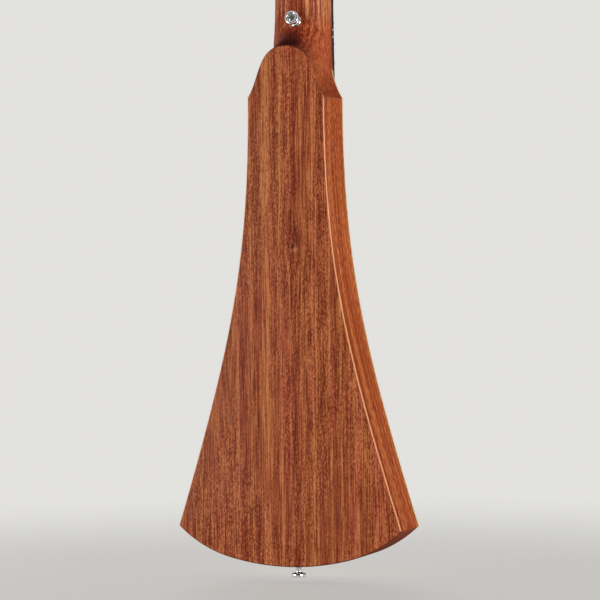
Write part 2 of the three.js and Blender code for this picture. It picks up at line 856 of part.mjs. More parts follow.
function crosswise(drop, y, inwards) {
  const z = shoulderZ - drop;
  const narrow = halfWidthAt(z + braceWidth / 2, sideThickness + liningWidth + 2 * seatGap);
  const reach = narrow - seatGap;
  return brace(new THREE.Vector3(-reach, y, z), new THREE.Vector3(reach, y, z), inwards);
}

// Middle of a leg brace at a height. The legs spread towards the tail and pass the bridge plate's corners.
function legPoint(side, z) {
  const corner = bridgePlateWidth / 2 + legPlateGap + braceWidth / 2 / Math.cos(legSplay);
  const plateTopZ = pinZ + bridgePlateLength / 2;
  return new THREE.Vector3(side * (corner + (plateTopZ - z) * Math.tan(legSplay)), wallHighY, z);
}

place(parts, 'top_cross_brace', crosswise(crossBraceDrop, wallHighY, -1), 'braceWood');
for (const [sideName, side] of [['bass', 1], ['treble', -1]]) {
  const start = legPoint(side, shoulderZ - soundHoleDrop - soundHoleDiameter / 2 - legHoleGap);
  const end = legPoint(side, tailBlockZ + legBlockGap);
  place(parts, `top_leg_brace_${sideName}`, brace(start, end, -1), 'braceWood');
}
place(parts, 'back_brace_upper', crosswise(backBraceDrops[0], wallLowY, 1), 'braceWood');
place(parts, 'back_brace_lower', crosswise(backBraceDrops[1], wallLowY, 1), 'braceWood');

// Fingerboard with its fret crowns, and the nut

function fretCrown(fret) {
  const z = fretPlace(fret);
  const rings = [-1, 1].map((side) => {
    const ring = [];
    for (let step = 0; step <= fretSides; step += 1) {
      const angle = (Math.PI * step) / fretSides;
      ring.push(new THREE.Vector3(
        side * neckHalfWidth(z),
        fingerboardThickness + fretHeight * Math.sin(angle),
        z + (fretWidth / 2) * Math.cos(angle),
      ));
    }
    const sunk = fingerboardThickness - fretHeight;
    ring.push(new THREE.Vector3(side * neckHalfWidth(z), sunk, z - fretWidth / 2));
    ring.push(new THREE.Vector3(side * neckHalfWidth(z), sunk, z + fretWidth / 2));
    return ring;
  });
  return loft(rings);
}

function fingerboardGeometry() {
  const end = shoulderZ - fingerboardOverhang;
  const board = slab([
    new THREE.Vector2(nutWidth / 2, -glueLine),
    new THREE.Vector2(neckHalfWidth(end), end),
    new THREE.Vector2(-neckHalfWidth(end), end),
    new THREE.Vector2(-nutWidth / 2, -glueLine),
  ], glueLine, fingerboardThickness);
  const crowns = [];
  for (let fret = 1; fret <= fretCount; fret += 1) crowns.push(fretCrown(fret));
  return join(board, ...crowns);
}

place(parts, 'fingerboard', fingerboardGeometry(), 'blackComposite');

// Route of a string from its ball end to its post

function ballCentre(number) {
  const radius = stringDiameters[number - 1] / 2;
  const y = -soundboardThickness - bridgePlateThickness - 2 * glueLine - seatGap - ballDiameter / 2;
  return new THREE.Vector3(stringX(number, pinZ), y, pinZ + pinHoleDiameter / 2 - glueLine - radius);
}

function saddleSetback(number) {
  return THREE.MathUtils.lerp(trebleSetback, bassSetback, (number - 1) / (stringCount - 1));
}

function saddlePoint(number) {
  const z = saddleZ - saddleSetback(number);
  const y = saddleTopY + stringDiameters[number - 1] / 2 + stringGap;
  return new THREE.Vector3(stringX(number, z), y, z);
}

function nutPoint(number) {
  return new THREE.Vector3(stringX(number, 0), nutSlotY + stringDiameters[number - 1] / 2 + stringGap, 0);
}

function bendPoint(number) {
  const ball = ballCentre(number);
  return new THREE.Vector3(ball.x, bridgeThickness - stringBendDepth, ball.z);
}

// Turns round the post, from the lowest turn up to the hole, in the head's frame
function windPoints(number) {
  const { side, x, along } = postPlace(number);
  const diameter = stringDiameters[number - 1];
  const radius = postWaistDiameter / 2 + diameter / 2 + glueLine;
  const nut = nutPoint(number).applyMatrix4(head.matrix.clone().invert());
  const gapX = side * (nut.x - x);
  const gapZ = nut.z - along;
  const reach = Math.hypot(gapX, gapZ);
  const start = Math.atan2(gapZ, gapX) - Math.acos(radius / reach);
  const holeY = postHeight - postHoleDrop;
  const climb = (diameter + windPitchGap) * windTurns;
  const count = Math.round(windSteps * windTurns);
  const points = [];
  for (let step = 0; step <= count; step += 1) {
    const share = step / count;
    const angle = start - 2 * Math.PI * windTurns * share;
    points.push(new THREE.Vector3(
      x + side * radius * Math.cos(angle),
      holeY - climb * (1 - share),
      along + radius * Math.sin(angle),
    ));
  }
  return points;
}

function stringPoints(number) {
  const winds = windPoints(number).map((point) => point.applyMatrix4(head.matrix));
  return [ballCentre(number), bendPoint(number), saddlePoint(number), nutPoint(number), ...winds];
}

// Least distance between two turns of one string, less its diameter
function leastWindGap(number) {
  const points = windPoints(number);
  let least = Infinity;
  points.forEach((point, index) => {
    const apart = Math.round(windSteps / 2);
    points.slice(index + apart).forEach((other) => {
      least = Math.min(least, point.distanceTo(other) - stringDiameters[number - 1]);
    });
  });
  return least;
}

// A slot that follows a string, open above it
function stringSlot(number, from, to, topY) {
  const radius = stringDiameters[number - 1] / 2 + stringGap;
  const along = to.clone().sub(from).normalize();
  const ends = [from.clone().addScaledVector(along, -overrun), to.clone().addScaledVector(along, overrun)];
  return loft(ends.map((end) => [
    new THREE.Vector3(end.x - radius, end.y - radius, end.z),
    new THREE.Vector3(end.x + radius, end.y - radius, end.z),
    new THREE.Vector3(end.x + radius, topY, end.z),
    new THREE.Vector3(end.x - radius, topY, end.z),
  ]));
}

function stringGeometry(number) {
  const ball = ballCentre(number);
  const barrel = rodAlong('x', ballDiameter / 2, -ballLength / 2, ballLength / 2, 2 * wireSides);
  barrel.translate(ball.x, ball.y, ball.z);
  return join(wire(stringPoints(number), stringDiameters[number - 1] / 2), barrel);
}

for (const number of stringNumbers) {
  place(parts, `string_${number}`, stringGeometry(number), number > plainStrings ? 'bronze' : 'steel');
}
const leastGaps = stringNumbers.map((number) => leastWindGap(number).toFixed(2));
console.log(`least gap between the turns of strings 1 to ${stringCount} in mm: ${leastGaps.join(', ')}`);

// Nut: a bone bar with a slot for each string

function nutGeometry() {
  const top = nutSlotY + thickestString / 2 + nutRim;
  const bar = box(
    new THREE.Vector3(-nutWidth / 2, glueLine, 0),
    new THREE.Vector3(nutWidth / 2, top, nutThickness),
  );
  const slots = stringNumbers.flatMap((number) => {
    const [before, at, after] = stringPoints(number).slice(2, 5);
    const first = at.clone().add(before.clone().sub(at).setLength(overrun));
    const last = at.clone().add(after.clone().sub(at).setLength(nutThickness + overrun));
    return [stringSlot(number, first, at, top + overrun), stringSlot(number, at, last, top + overrun)];
  });
  return cut(bar, ...slots);
}

place(parts, 'nut', nutGeometry(), 'bone');

// Bridge, saddle, pins and bridge plate

function bridgeOutline(topY) {
  const wing = bridgeWidth / 2;
  const block = bridgeBlockWidth / 2;
  const middle = block + bridgeWingRun / 2;
  const shelf = block + bridgeWingRun;
  const shape = new THREE.Shape();
  shape.moveTo(-wing, glueLine);
  shape.lineTo(wing, glueLine);
  shape.lineTo(wing, bridgeWingHeight);
  shape.lineTo(shelf, bridgeWingHeight);
  shape.quadraticCurveTo(middle, bridgeWingHeight, block, topY);
  shape.lineTo(-block, topY);
  shape.quadraticCurveTo(-middle, bridgeWingHeight, -shelf, bridgeWingHeight);
  shape.lineTo(-wing, bridgeWingHeight);
  return shape;
}

function roundedRectangle(lowX, highX, lowZ, highZ, radius) {
  const shape = new THREE.Shape();
  shape.moveTo(lowX + radius, lowZ);
  shape.lineTo(highX - radius, lowZ);
  shape.quadraticCurveTo(highX, lowZ, highX, lowZ + radius);
  shape.lineTo(highX, highZ - radius);
  shape.quadraticCurveTo(highX, highZ, highX - radius, highZ);
  shape.lineTo(lowX + radius, highZ);
  shape.quadraticCurveTo(lowX, highZ, lowX, highZ - radius);
  shape.lineTo(lowX, lowZ + radius);
  shape.quadraticCurveTo(lowX, lowZ, lowX + radius, lowZ);
  return shape;
}

// How far the string falls from the ridge of the saddle to its back edge
function saddleFall() {
  const slopes = stringNumbers.map((number) => {
    const run = saddlePoint(number).sub(bendPoint(number));
    return run.y / run.z;
  });
  return (saddleThickness / 2) * Math.max(...slopes) + glueLine;
}

// A bar under the strings that slants with the set-back of the strings and falls off behind its ridge
function saddleBar(halfLength, halfThickness, lowY, highY, fall) {
  return loft([-1, 1].map((side) => {
    const reach = side * halfLength;
    const share = 1 / 2 + reach / saddleStringSpan;
    const z = saddleZ - THREE.MathUtils.lerp(trebleSetback, bassSetback, share);
    return [
      new THREE.Vector3(reach, lowY, z - halfThickness),
      new THREE.Vector3(reach, lowY, z + halfThickness),
      new THREE.Vector3(reach, highY - glueLine, z + halfThickness),
      new THREE.Vector3(reach, highY, z),
      new THREE.Vector3(reach, highY - fall, z - halfThickness),
    ];
  }));
}

const bridgeFrontZ = saddleZ + saddleFromFront;
const saddleFootY = bridgeThickness - saddleSlotDepth;

function bridgeGeometry() {
  const settings = { depth: bridgeLength, bevelEnabled: false, curveSegments: curveSteps };
  const profile = new THREE.ExtrudeGeometry(bridgeOutline(bridgeThickness), settings)
    .translate(0, 0, bridgeFrontZ - bridgeLength);
  const half = bridgeWidth / 2;
  const plan = roundedRectangle(-half, half, bridgeFrontZ - bridgeLength, bridgeFrontZ, bridgeCornerRadius);
  const blank = common(profile, slab(plan, -overrun, bridgeThickness + overrun));
  const above = bridgeThickness + overrun;
  const slotHalf = saddleThickness / 2 + seatGap;
  const slot = saddleBar(saddleLength / 2 + seatGap, slotHalf, saddleFootY, above, glueLine);
  const ramps = stringNumbers.map(
    (number) => stringSlot(number, bendPoint(number), saddlePoint(number), above),
  );
  const holes = pinCutters(pinHoleDiameter / 2, -overrun, above);
  return cut(blank, slot, ...ramps, ...holes);
}

place(parts, 'bridge', bridgeGeometry(), 'blackComposite');
const saddleGeometry = saddleBar(
  saddleLength / 2,
  saddleThickness / 2,
  saddleFootY + glueLine,
  saddleTopY,
  saddleFall(),
);
place(parts, 'saddle', saddleGeometry, 'bone');

function bridgePlateGeometry() {
  const high = wallHighY;
  const low = high - bridgePlateThickness;
  const plate = box(
    new THREE.Vector3(-bridgePlateWidth / 2, low, pinZ - bridgePlateLength / 2),
    new THREE.Vector3(bridgePlateWidth / 2, high, pinZ + bridgePlateLength / 2),
  );
  return cut(plate, ...pinCutters(pinHoleDiameter / 2, low - overrun, high + overrun));
}

place(parts, 'bridge_plate', bridgePlateGeometry(), 'backWood');

function pinGeometry(number) {
  const tipY = -soundboardThickness - bridgePlateThickness;
  const headY = bridgeThickness + glueLine;
  const radius = pinHeadDiameter / 2;
  const pin = turned([
    [0, tipY],
    [pinDiameter / 2, tipY],
    [pinDiameter / 2, headY],
    [radius, headY],
    [radius, headY + pinHeadHeight * pinRimShare],
    [radius * pinCrownShare, headY + pinHeadHeight],
    [0, headY + pinHeadHeight],
  ], postSides).translate(stringX(number, pinZ), 0, pinZ);
  const ball = ballCentre(number);
  const groove = pinFluteShare * stringDiameters[number - 1] + glueLine;
  const flute = box(
    new THREE.Vector3(ball.x - groove, tipY - overrun, ball.z - groove),
    new THREE.Vector3(ball.x + groove, bridgeThickness, ball.z + pinHoleDiameter),
  );
  return cut(pin, flute);
}

for (const number of stringNumbers) {
  place(parts, `bridge_pin_${number}`, pinGeometry(number), 'bone');
}

// Strap buttons, each held by a wood screw

function strapButtonGeometry(seatY) {
  const base = buttonBaseDiameter / 2;
  const waist = buttonWaistDiameter / 2;
  const rim = buttonHeadDiameter / 2;
  const bore = screwShankDiameter / 2 + seatGap;
  const [waistLow, waistHigh] = buttonWaistShares;
  const [rimLow, rimMiddle, rimHigh] = buttonRimShares;
  return turned([
    [bore, 0],
    [base, 0],
    [base, buttonBaseHeight],
    [waist, buttonHeight * waistLow],
    [waist, buttonHeight * waistHigh],
    [rim * rimHigh, buttonHeight * rimLow],
    [rim, buttonHeight * rimMiddle],
    [rim, buttonHeight * rimHigh],
    [rim * buttonFaceShare, buttonHeight],
    [recessDiameter / 2, buttonHeight],
    [recessDiameter / 2, buttonHeight - recessDepth],
    [bore, buttonHeight - recessDepth],
    [bore, 0],
  ], buttonSides).translate(0, seatY, 0);
}

function screwGeometry(seatY, screwLength) {
  const shank = screwShankDiameter / 2;
  const headLow = seatY + buttonHeight - recessDepth + seatGap;
  const screw = turned([
    [0, headLow - screwLength],
    [shank, headLow - screwLength + screwTipLength],
    [shank, headLow],
    [screwHeadDiameter / 2, headLow],
    [screwHeadDiameter / 2, headLow + screwHeadHeight * screwRimShare],
    [shank, headLow + screwHeadHeight],
    [0, headLow + screwHeadHeight],
  ], boreSides);
  const high = headLow + screwHeadHeight;
  const slots = [[crossLength, crossWidth], [crossWidth, crossLength]].map(([width, length]) => box(
    new THREE.Vector3(-width / 2, high - crossDepth, -length / 2),
    new THREE.Vector3(width / 2, high + overrun, length / 2),
  ));
  return cut(screw, ...slots);
}

for (const [name, frame, seatY, screwLength] of [
  ['heel', heelButtonFrame, seatGap - spotFaceDepth, heelScrewLength],
  ['tail', tailButtonFrame, seatGap, tailScrewLength],
]) {
  place(parts, `strap_button_${name}`, strapButtonGeometry(seatY).applyMatrix4(frame), 'chrome');
  place(parts, `strap_screw_${name}`, screwGeometry(seatY, screwLength).applyMatrix4(frame), 'steel');
}

// Tuning machines. In a machine's frame the post turns about Y, the worm turns about X,
// y = 0 is the back of the head, and the worm lies towards the nut.

const gearPitchRadius = (gearTeeth * gearModule) / 2;
const gearTipRadius = gearPitchRadius + gearModule;
const gearRootRadius = gearPitchRadius - gearModule - rootClearance;
const wormTipRadius = wormPitchRadius + gearModule - runningGap / 2;
const wormRootRadius = wormPitchRadius - gearModule - rootClearance;
const wormDistance = gearPitchRadius + wormPitchRadius;
const wormPitch = Math.PI * gearModule;
const gearTwist = (gearFace * wormPitch) / (2 * Math.PI * wormPitchRadius * gearPitchRadius);
const plateY = -seatGap - plateThickness;
const wormY = plateY - seatGap - wormTipRadius;
const earX = wormLength / 2 + seatGap;

// Wheel: the gap between two teeth faces the worm at rest, and the teeth lean as the thread does
function wheelRing(y, turn) {
  const ring = [];
  const step = (2 * Math.PI) / gearTeeth;
  for (let tooth = 0; tooth < gearTeeth; tooth += 1) {
    const middle = -Math.PI / 2 + (tooth + 1 / 2) * step + turn;
    const rootHalf = (step * toothRootShare) / 2;
    const tipHalf = (step * toothTipShare) / 2;
    const corners = [
      [gearRootRadius, -rootHalf],
      [gearTipRadius, -tipHalf],
      [gearTipRadius, tipHalf],
      [gearRootRadius, rootHalf],
    ];
    corners.forEach(([radius, offset]) => {
      ring.push(new THREE.Vector3(
        radius * Math.cos(middle + offset),
        y,
        radius * Math.sin(middle + offset),
      ));
    });
  }
  return ring;
}

function postGeometry() {
  const wheel = loft([-1, 1].map((level) => (
    wheelRing(wormY + (level * gearFace) / 2, (-level * gearTwist) / 2)
  )));
  const top = headThickness + postHeight;
  const post = postDiameter / 2;
  const waist = postWaistDiameter / 2;
  const low = wormY - gearFace / 2 - postCapHeight;
  const stem = turned([
    [0, low],
    [(gearHubDiameter / 2) * gearCapShare, low],
    [gearHubDiameter / 2, low + postCapHeight],
    [gearHubDiameter / 2, plateY - seatGap],
    [post, plateY - seatGap],
    [post, headThickness + postRimHeight],
    [waist, headThickness + 2 * postRimHeight],
    [waist, top - postRimHeight],
    [post, top - postCapHeight],
    [post, top - postCapHeight / 2],
    [waist, top],
    [0, top],
  ], postSides);
  const hole = rodAlong('x', postHoleDiameter / 2, -postDiameter, postDiameter, boreSides / 2)
    .translate(0, top - postHoleDrop, 0);
  return cut(join(wheel, stem), hole);
}

// Worm thread: a ridge that winds round the shaft, fading into the core at both ends
function threadGeometry() {
  const turns = (wormLength - wormPitch) / wormPitch;
  const count = Math.round(turns * threadSteps);
  const rings = [];
  for (let step = 0; step <= count; step += 1) {
    const turn = (step / count - 1 / 2) * turns;
    const angle = 2 * Math.PI * turn;
    const outward = (radius, offset) => new THREE.Vector3(
      turn * wormPitch + offset,
      -radius * Math.sin(angle),
      radius * Math.cos(angle),
    );
    const foot = (wormPitch * threadFootShare) / 2;
    const crest = (wormPitch * threadCrestShare) / 2;
    const sunk = wormRootRadius - rootClearance;
    rings.push([
      outward(sunk, -foot),
      outward(wormTipRadius, -crest),
      outward(wormTipRadius, crest),
      outward(sunk, foot),
    ]);
  }
  return loft(rings);
}

// Oval knob on the end of the shaft
function knobGeometry(from) {
  const rings = [];
  const count = curveSteps + 1;
  for (let step = 0; step <= count; step += 1) {
    const angle = Math.PI * (step / count);
    const swell = Math.max(Math.sin(angle) ** knobPower, collarDiameter / knobWidth / 2);
    const ring = [];
    for (let side = 0; side < 2 * wireSides; side += 1) {
      const turn = (Math.PI * side) / wireSides;
      ring.push(new THREE.Vector3(
        from + (knobLength * (1 - Math.cos(angle))) / 2,
        (knobThickness / 2) * swell * Math.sin(turn),
        (knobWidth / 2) * swell * Math.cos(turn),
      ));
    }
    rings.push(ring);
  }
  return loft(rings);
}

function knobShaftGeometry(side) {
  const inKnob = buttonStandoff + overrun;
  const shaft = rodAlong('x', shaftDiameter / 2, -earX - earThickness - shaftStub, inKnob, threadSteps);
  const core = rodAlong('x', wormRootRadius, -wormLength / 2, wormLength / 2, threadSteps);
  const collar = rodAlong('x', collarDiameter / 2, buttonStandoff - collarLength, inKnob, threadSteps);
  const plain = join(shaft, core, collar, knobGeometry(buttonStandoff));
  const sided = side > 0 ? plain : geometryOf(solidOf(plain).mirror([1, 0, 0]));
  return join(sided, threadGeometry()).translate(0, wormY, -wormDistance);
}

function earGeometry(lowX) {
  const shape = new THREE.Shape();
  const half = earWidth / 2;
  shape.moveTo(-half, wormY);
  shape.lineTo(-half, -seatGap - plateThickness / 2);
  shape.lineTo(half, -seatGap - plateThickness / 2);
  shape.lineTo(half, wormY);
  shape.absarc(0, wormY, half, 0, -Math.PI, true);
  const bore = new THREE.Path().absarc(0, wormY, shaftDiameter / 2 + runningGap, 0, 2 * Math.PI, false);
  shape.holes.push(bore);
  const settings = { depth: earThickness, bevelEnabled: false, curveSegments: curveSteps };
  return new THREE.ExtrudeGeometry(shape, settings).rotateY(Math.PI / 2).translate(lowX, 0, -wormDistance);
}

function machinePlateGeometry() {
  const low = -plateLength * plateSetShare;
  const high = low + plateLength;
  const half = plateWidth / 2;
  const base = slab(roundedRectangle(-half, half, low, high, plateCornerRadius), plateY, -seatGap);
  const ears = [earGeometry(-earX - earThickness), earGeometry(earX)];
  const postBore = rodAlong('y', postDiameter / 2 + runningGap, plateY - overrun, overrun);
  const screwHoles = [low + plateScrewInset, high - plateScrewInset].map((z) => (
    rodAlong('y', plateScrewDiameter / 2, plateY - overrun, overrun, boreSides / 2).translate(0, 0, z)
  ));
  return cut(join(base, ...ears), postBore, ...screwHoles);
}

for (const number of stringNumbers) {
  const { side, x, along } = postPlace(number);
  const machine = new THREE.Group();
  machine.position.set(x, -headThickness, along);
  head.add(machine);
  place(machine, `tuner_plate_${number}`, machinePlateGeometry(), 'chrome');
  place(machine, `tuner_post_${number}`, postGeometry(), 'chrome');
  place(machine, `tuner_button_${number}`, knobShaftGeometry(side), 'chrome');
}

export default parts;
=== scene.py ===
# %% [markdown]
# A travel guitar, seen from behind, dressed for its portrait. The solids of the guitar are already built
# and packed. This notebook loads them as a fixed frame, in metres, and then gives each piece its fine
# surface and its finish. Nothing here changes a size: every piece stands where its solid stands. Up is +Z,
# the soundboard faces +Y, the flat back faces -Y and the bass side is +X.

# %% Load the frame
import sys
import json
import math

import bmesh
import bpy
from mathutils import Matrix, Vector

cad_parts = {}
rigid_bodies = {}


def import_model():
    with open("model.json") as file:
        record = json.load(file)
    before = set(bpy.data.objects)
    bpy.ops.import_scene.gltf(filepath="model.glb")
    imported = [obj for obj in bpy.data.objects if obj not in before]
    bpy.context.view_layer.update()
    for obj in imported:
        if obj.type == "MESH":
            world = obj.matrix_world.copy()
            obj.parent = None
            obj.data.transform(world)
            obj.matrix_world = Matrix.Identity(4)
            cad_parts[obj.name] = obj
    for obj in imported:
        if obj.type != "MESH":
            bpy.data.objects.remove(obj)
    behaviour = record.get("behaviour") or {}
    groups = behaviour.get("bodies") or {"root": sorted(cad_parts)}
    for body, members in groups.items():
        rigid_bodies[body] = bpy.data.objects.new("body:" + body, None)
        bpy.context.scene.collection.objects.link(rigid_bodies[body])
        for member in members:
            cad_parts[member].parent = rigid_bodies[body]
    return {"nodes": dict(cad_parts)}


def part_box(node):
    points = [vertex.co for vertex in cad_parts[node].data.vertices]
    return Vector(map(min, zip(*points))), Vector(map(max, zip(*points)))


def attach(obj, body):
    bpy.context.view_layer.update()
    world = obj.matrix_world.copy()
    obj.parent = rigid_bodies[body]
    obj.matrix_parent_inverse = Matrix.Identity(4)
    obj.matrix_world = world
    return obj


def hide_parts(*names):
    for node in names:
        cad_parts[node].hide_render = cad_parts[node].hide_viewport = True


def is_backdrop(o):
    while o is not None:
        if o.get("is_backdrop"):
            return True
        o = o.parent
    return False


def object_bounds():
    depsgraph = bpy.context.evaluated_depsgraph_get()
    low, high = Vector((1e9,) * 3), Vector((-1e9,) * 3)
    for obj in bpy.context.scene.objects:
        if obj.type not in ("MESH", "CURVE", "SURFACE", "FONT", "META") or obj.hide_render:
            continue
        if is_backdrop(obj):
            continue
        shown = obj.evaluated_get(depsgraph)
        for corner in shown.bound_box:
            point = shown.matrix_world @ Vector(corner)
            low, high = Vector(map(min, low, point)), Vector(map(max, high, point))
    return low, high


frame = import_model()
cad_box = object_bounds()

mm = 0.001
print("solids in the frame:", len(frame["nodes"]))

# %% [markdown]
# The camera comes first, because everything after it is judged through it. A product photograph taken from
# far away has almost parallel lines, which a long lens gives. The camera stands behind the guitar and to
# the bass side, a little above the middle of the body, and looks down by one degree.

# %% Camera
camera_place = Vector((0.8631, -2.3993, -0.4831))
camera_yaw = math.radians(19.917)
camera_pitch = math.radians(-1.0304)
camera_roll = math.radians(0.4286)
camera_lens = 174.24
sensor_width = 36.0

level_right = Vector((math.cos(camera_yaw), math.sin(camera_yaw), 0))
forward = Vector((
    -math.sin(camera_yaw) * math.cos(camera_pitch),
    math.cos(camera_yaw) * math.cos(camera_pitch),
    math.sin(camera_pitch),
))
level_up = level_right.cross(forward)
camera_right = level_right * math.cos(camera_roll) - level_up * math.sin(camera_roll)
camera_up = level_up * math.cos(camera_roll) + level_right * math.sin(camera_roll)
camera_axes = Matrix((camera_right, camera_up, -forward)).transposed()
camera_data = bpy.data.cameras.new("camera")
camera_data.lens = camera_lens
camera_data.sensor_width = sensor_width
camera = bpy.data.objects.new("camera", camera_data)
camera.matrix_world = Matrix.Translation(camera_place) @ camera_axes.to_4x4()
bpy.context.scene.collection.objects.link(camera)
bpy.context.scene.camera = camera
bpy.context.scene.view_settings.view_transform = "Standard"
print("camera looks along", [round(part, 3) for part in forward])

# %% [markdown]
# Node trees are easier to read when each line is one thought. These helpers write a value on a socket or
# link it to another socket, and return the socket that carries the result. A tree may be a material's or a
# group's own.

# %% Helpers for nodes and sums
def feed(tree, socket, value):
    """Links a socket to another one, or writes a plain value on it."""
    if isinstance(value, bpy.types.NodeSocket):
        tree.links.new(value, socket)
    else:
        socket.default_value = value


def add(tree, kind, settings=None, **inputs):
    """A new node with its settings and inputs. An input's name is written with underscores for spaces."""
    made = tree.nodes.new(kind)
    for name, value in (settings or {}).items():
        setattr(made, name, value)
    for name, value in inputs.items():
        feed(tree, made.inputs[name.replace("_", " ")], value)
    return made


def compute(tree, operation, first, second=0.0, clamp=False):
    made = add(tree, "ShaderNodeMath", {"operation": operation, "use_clamp": clamp})
    feed(tree, made.inputs[0], first)
    feed(tree, made.inputs[1], second)
    return made.outputs[0]


def times(tree, first, second):
    return compute(tree, "MULTIPLY", first, second)


def compute_place(tree, operation, first, second=(0, 0, 0)):
    """A sum with places. A length or a dot product comes out as a number, anything else as a place."""
    made = add(tree, "ShaderNodeVectorMath", {"operation": operation})
    feed(tree, made.inputs[0], first)
    feed(tree, made.inputs[1], second)
    return made.outputs["Value" if operation in ("LENGTH", "DOT_PRODUCT") else "Vector"]


def split(tree, place):
    """The sockets X, Y and Z of a place."""
    made = add(tree, "ShaderNodeSeparateXYZ")
    feed(tree, made.inputs[0], place)
    return made.outputs


def join(tree, x=0.0, y=0.0, z=0.0):
    made = add(tree, "ShaderNodeCombineXYZ")
    for socket, value in zip(made.inputs, (x, y, z)):
        feed(tree, socket, value)
    return made.outputs[0]


def object_place(tree):
    return add(tree, "ShaderNodeTexCoord").outputs["Object"]


print("helpers for sums ready")

# %% [markdown]
# Almost every pattern on the guitar is soft noise whose blobs are long one way and narrow the other way.
# The place that feeds the noise is scaled along each axis for that. Most values of such noise lie close to
# a half, so a second step often stretches a part of its range to the full range from 0 to 1.

# %% Helpers for patterns
noise_middle = 0.5
noise_range = (0.3, 0.7)


def noise(tree, place, detail=2.0):
    return add(tree, "ShaderNodeTexNoise", Vector=place, Scale=1.0, Detail=detail).outputs[0]


def noise_of_size(tree, place, sizes, detail=2.0):
    """Noise whose blobs have a size of their own along each axis."""
    scaled = compute_place(tree, "MULTIPLY", place, [1 / size for size in sizes])
    return noise(tree, scaled, detail)


def drawn_out(tree, place, width, slimness, detail=2.0):
    """Noise one width across the grain and many widths along it, which is Z. The width may be a socket."""
    across = compute(tree, "DIVIDE", 1.0, width)
    along = compute(tree, "DIVIDE", across, slimness)
    return noise(tree, compute_place(tree, "MULTIPLY", place, join(tree, across, across, along)), detail)


def off_middle(tree, pattern, weight):
    """How far noise is from its middle value, times a weight."""
    return times(tree, compute(tree, "SUBTRACT", pattern, noise_middle), weight)


def remap(tree, value, low, high, new_low=0.0, new_high=1.0):
    made = add(tree, "ShaderNodeMapRange", {"interpolation_type": "SMOOTHSTEP"})
    for socket, given in zip(made.inputs, (value, low, high, new_low, new_high)):
        feed(tree, socket, given)
    return made.outputs[0]


def bell(tree, square):
    """1 where a square is zero, falling smoothly to 0 as it grows past 1."""
    return compute(tree, "EXPONENT", times(tree, square, -1.0))


print("helpers for patterns ready")

# %% [markdown]
# Colours are written as they look on the screen and turned into light by one formula. Laying one colour
# over another through a mask is the step that every finish is made of.

# %% Helpers for colours
screen_gamma = 2.2
screen_white = 255


def srgb(red, green, blue):
    """A colour written as 0 to 255 on the screen, as the linear colour that shaders take."""
    linear = [(part / screen_white) ** screen_gamma for part in (red, green, blue)]
    return (*linear, 1.0)


def mix(tree, factor, first, second, mode="MIX"):
    made = add(tree, "ShaderNodeMix", {"data_type": "RGBA", "blend_type": mode})
    for place, value in ((0, factor), (6, first), (7, second)):
        feed(tree, made.inputs[place], value)
    return made.outputs[2]


def cover(tree, colour, other, mask, strength=1.0, mode="MIX"):
    """Lays another colour over a colour where a mask is 1, up to a strength."""
    return mix(tree, times(tree, mask, strength), colour, other, mode)


def ramp(tree, value, stops):
    """Colours along a value from 0 to 1, from (place, colour) pairs."""
    made = add(tree, "ShaderNodeValToRGB")
    feed(tree, made.inputs[0], value)
    colours = made.color_ramp.elements
    while len(colours) < len(stops):
        colours.new(1.0)
    for element, (place, colour) in zip(colours, stops):
        element.position = place
        element.color = colour
    return made.outputs[0]


print("helpers for colours ready")

# %% [markdown]
# What several finishes share is a node group, built once. Its sockets have names, so that each material can
# place the group with its own values and read the result it needs.

# %% Helper for groups
def new_group(name, inputs, outputs):
    """An empty group. Inputs come with their first values, a place as three numbers. Outputs are numbers."""
    group = bpy.data.node_groups.new(name, "ShaderNodeTree")
    for label, value in inputs.items():
        kind = "NodeSocketVector" if isinstance(value, tuple) else "NodeSocketFloat"
        group.interface.new_socket(label, in_out="INPUT", socket_type=kind).default_value = value
    for label in outputs:
        group.interface.new_socket(label, in_out="OUTPUT", socket_type="NodeSocketFloat")
    return group, group.nodes.new("NodeGroupInput"), group.nodes.new("NodeGroupOutput")


print("helper for groups ready")

# %% [markdown]
# Mahogany-like wood has four scales of pattern, all drawn out along the grain: broad bands where the ribbon
# of the grain turns, long streaks about a millimetre wide, a mottle of short flecks where the interlocked
# grain rises and dips, and open pores that look like little dark dashes. Most of the contrast lies in
# streaks and mottle. Slower noise makes the mottle lively in one place and calm in another, and the colour
# warmer or cooler. One group makes all of it from a place in which the grain runs along Z, so that the
# back, the sides and the neck share it. A wave in the place itself keeps the lines from being straight.

# %% Group: open grain
def wander(tree, place, reach):
    """Shifts a place sideways by slow noise, so that the lines of the grain wander by a reach."""
    slimness = 3
    length = 220 * mm
    width = length / slimness
    slow = noise_of_size(tree, place, (width, width, length))
    return compute_place(tree, "ADD", place, join(tree, off_middle(tree, slow, reach)))


def grain_patterns(group, given):
    """The noises of the grain by name, from the group's own inputs."""
    place = wander(group, given["Place"], given["Wander"])
    # Width of each noise across the grain, its length in widths, and its detail
    drawn = {
        "bands": (given["Band Width"], 55.0, 2.0),
        "streaks": (given["Streak Width"], 40.0, 2.0),
        "flecks": (given["Fleck Width"], 3.2, 1.0),
        "calm": (22 * mm, 5.0, 1.0),
        "warmth": (6 * mm, 24.0, 1.0),
    }
    # Width and length of the small noises, and their detail
    small = {
        "blotches": (2.4 * mm, 11 * mm, 2.0),
        "dashes": (0.75 * mm, 4.2 * mm, 1.0),
    }
    made = {name: drawn_out(group, place, *values) for name, values in drawn.items()}
    for name, (width, length, detail) in small.items():
        made[name] = noise_of_size(group, place, (width, width, length), detail)
    return made


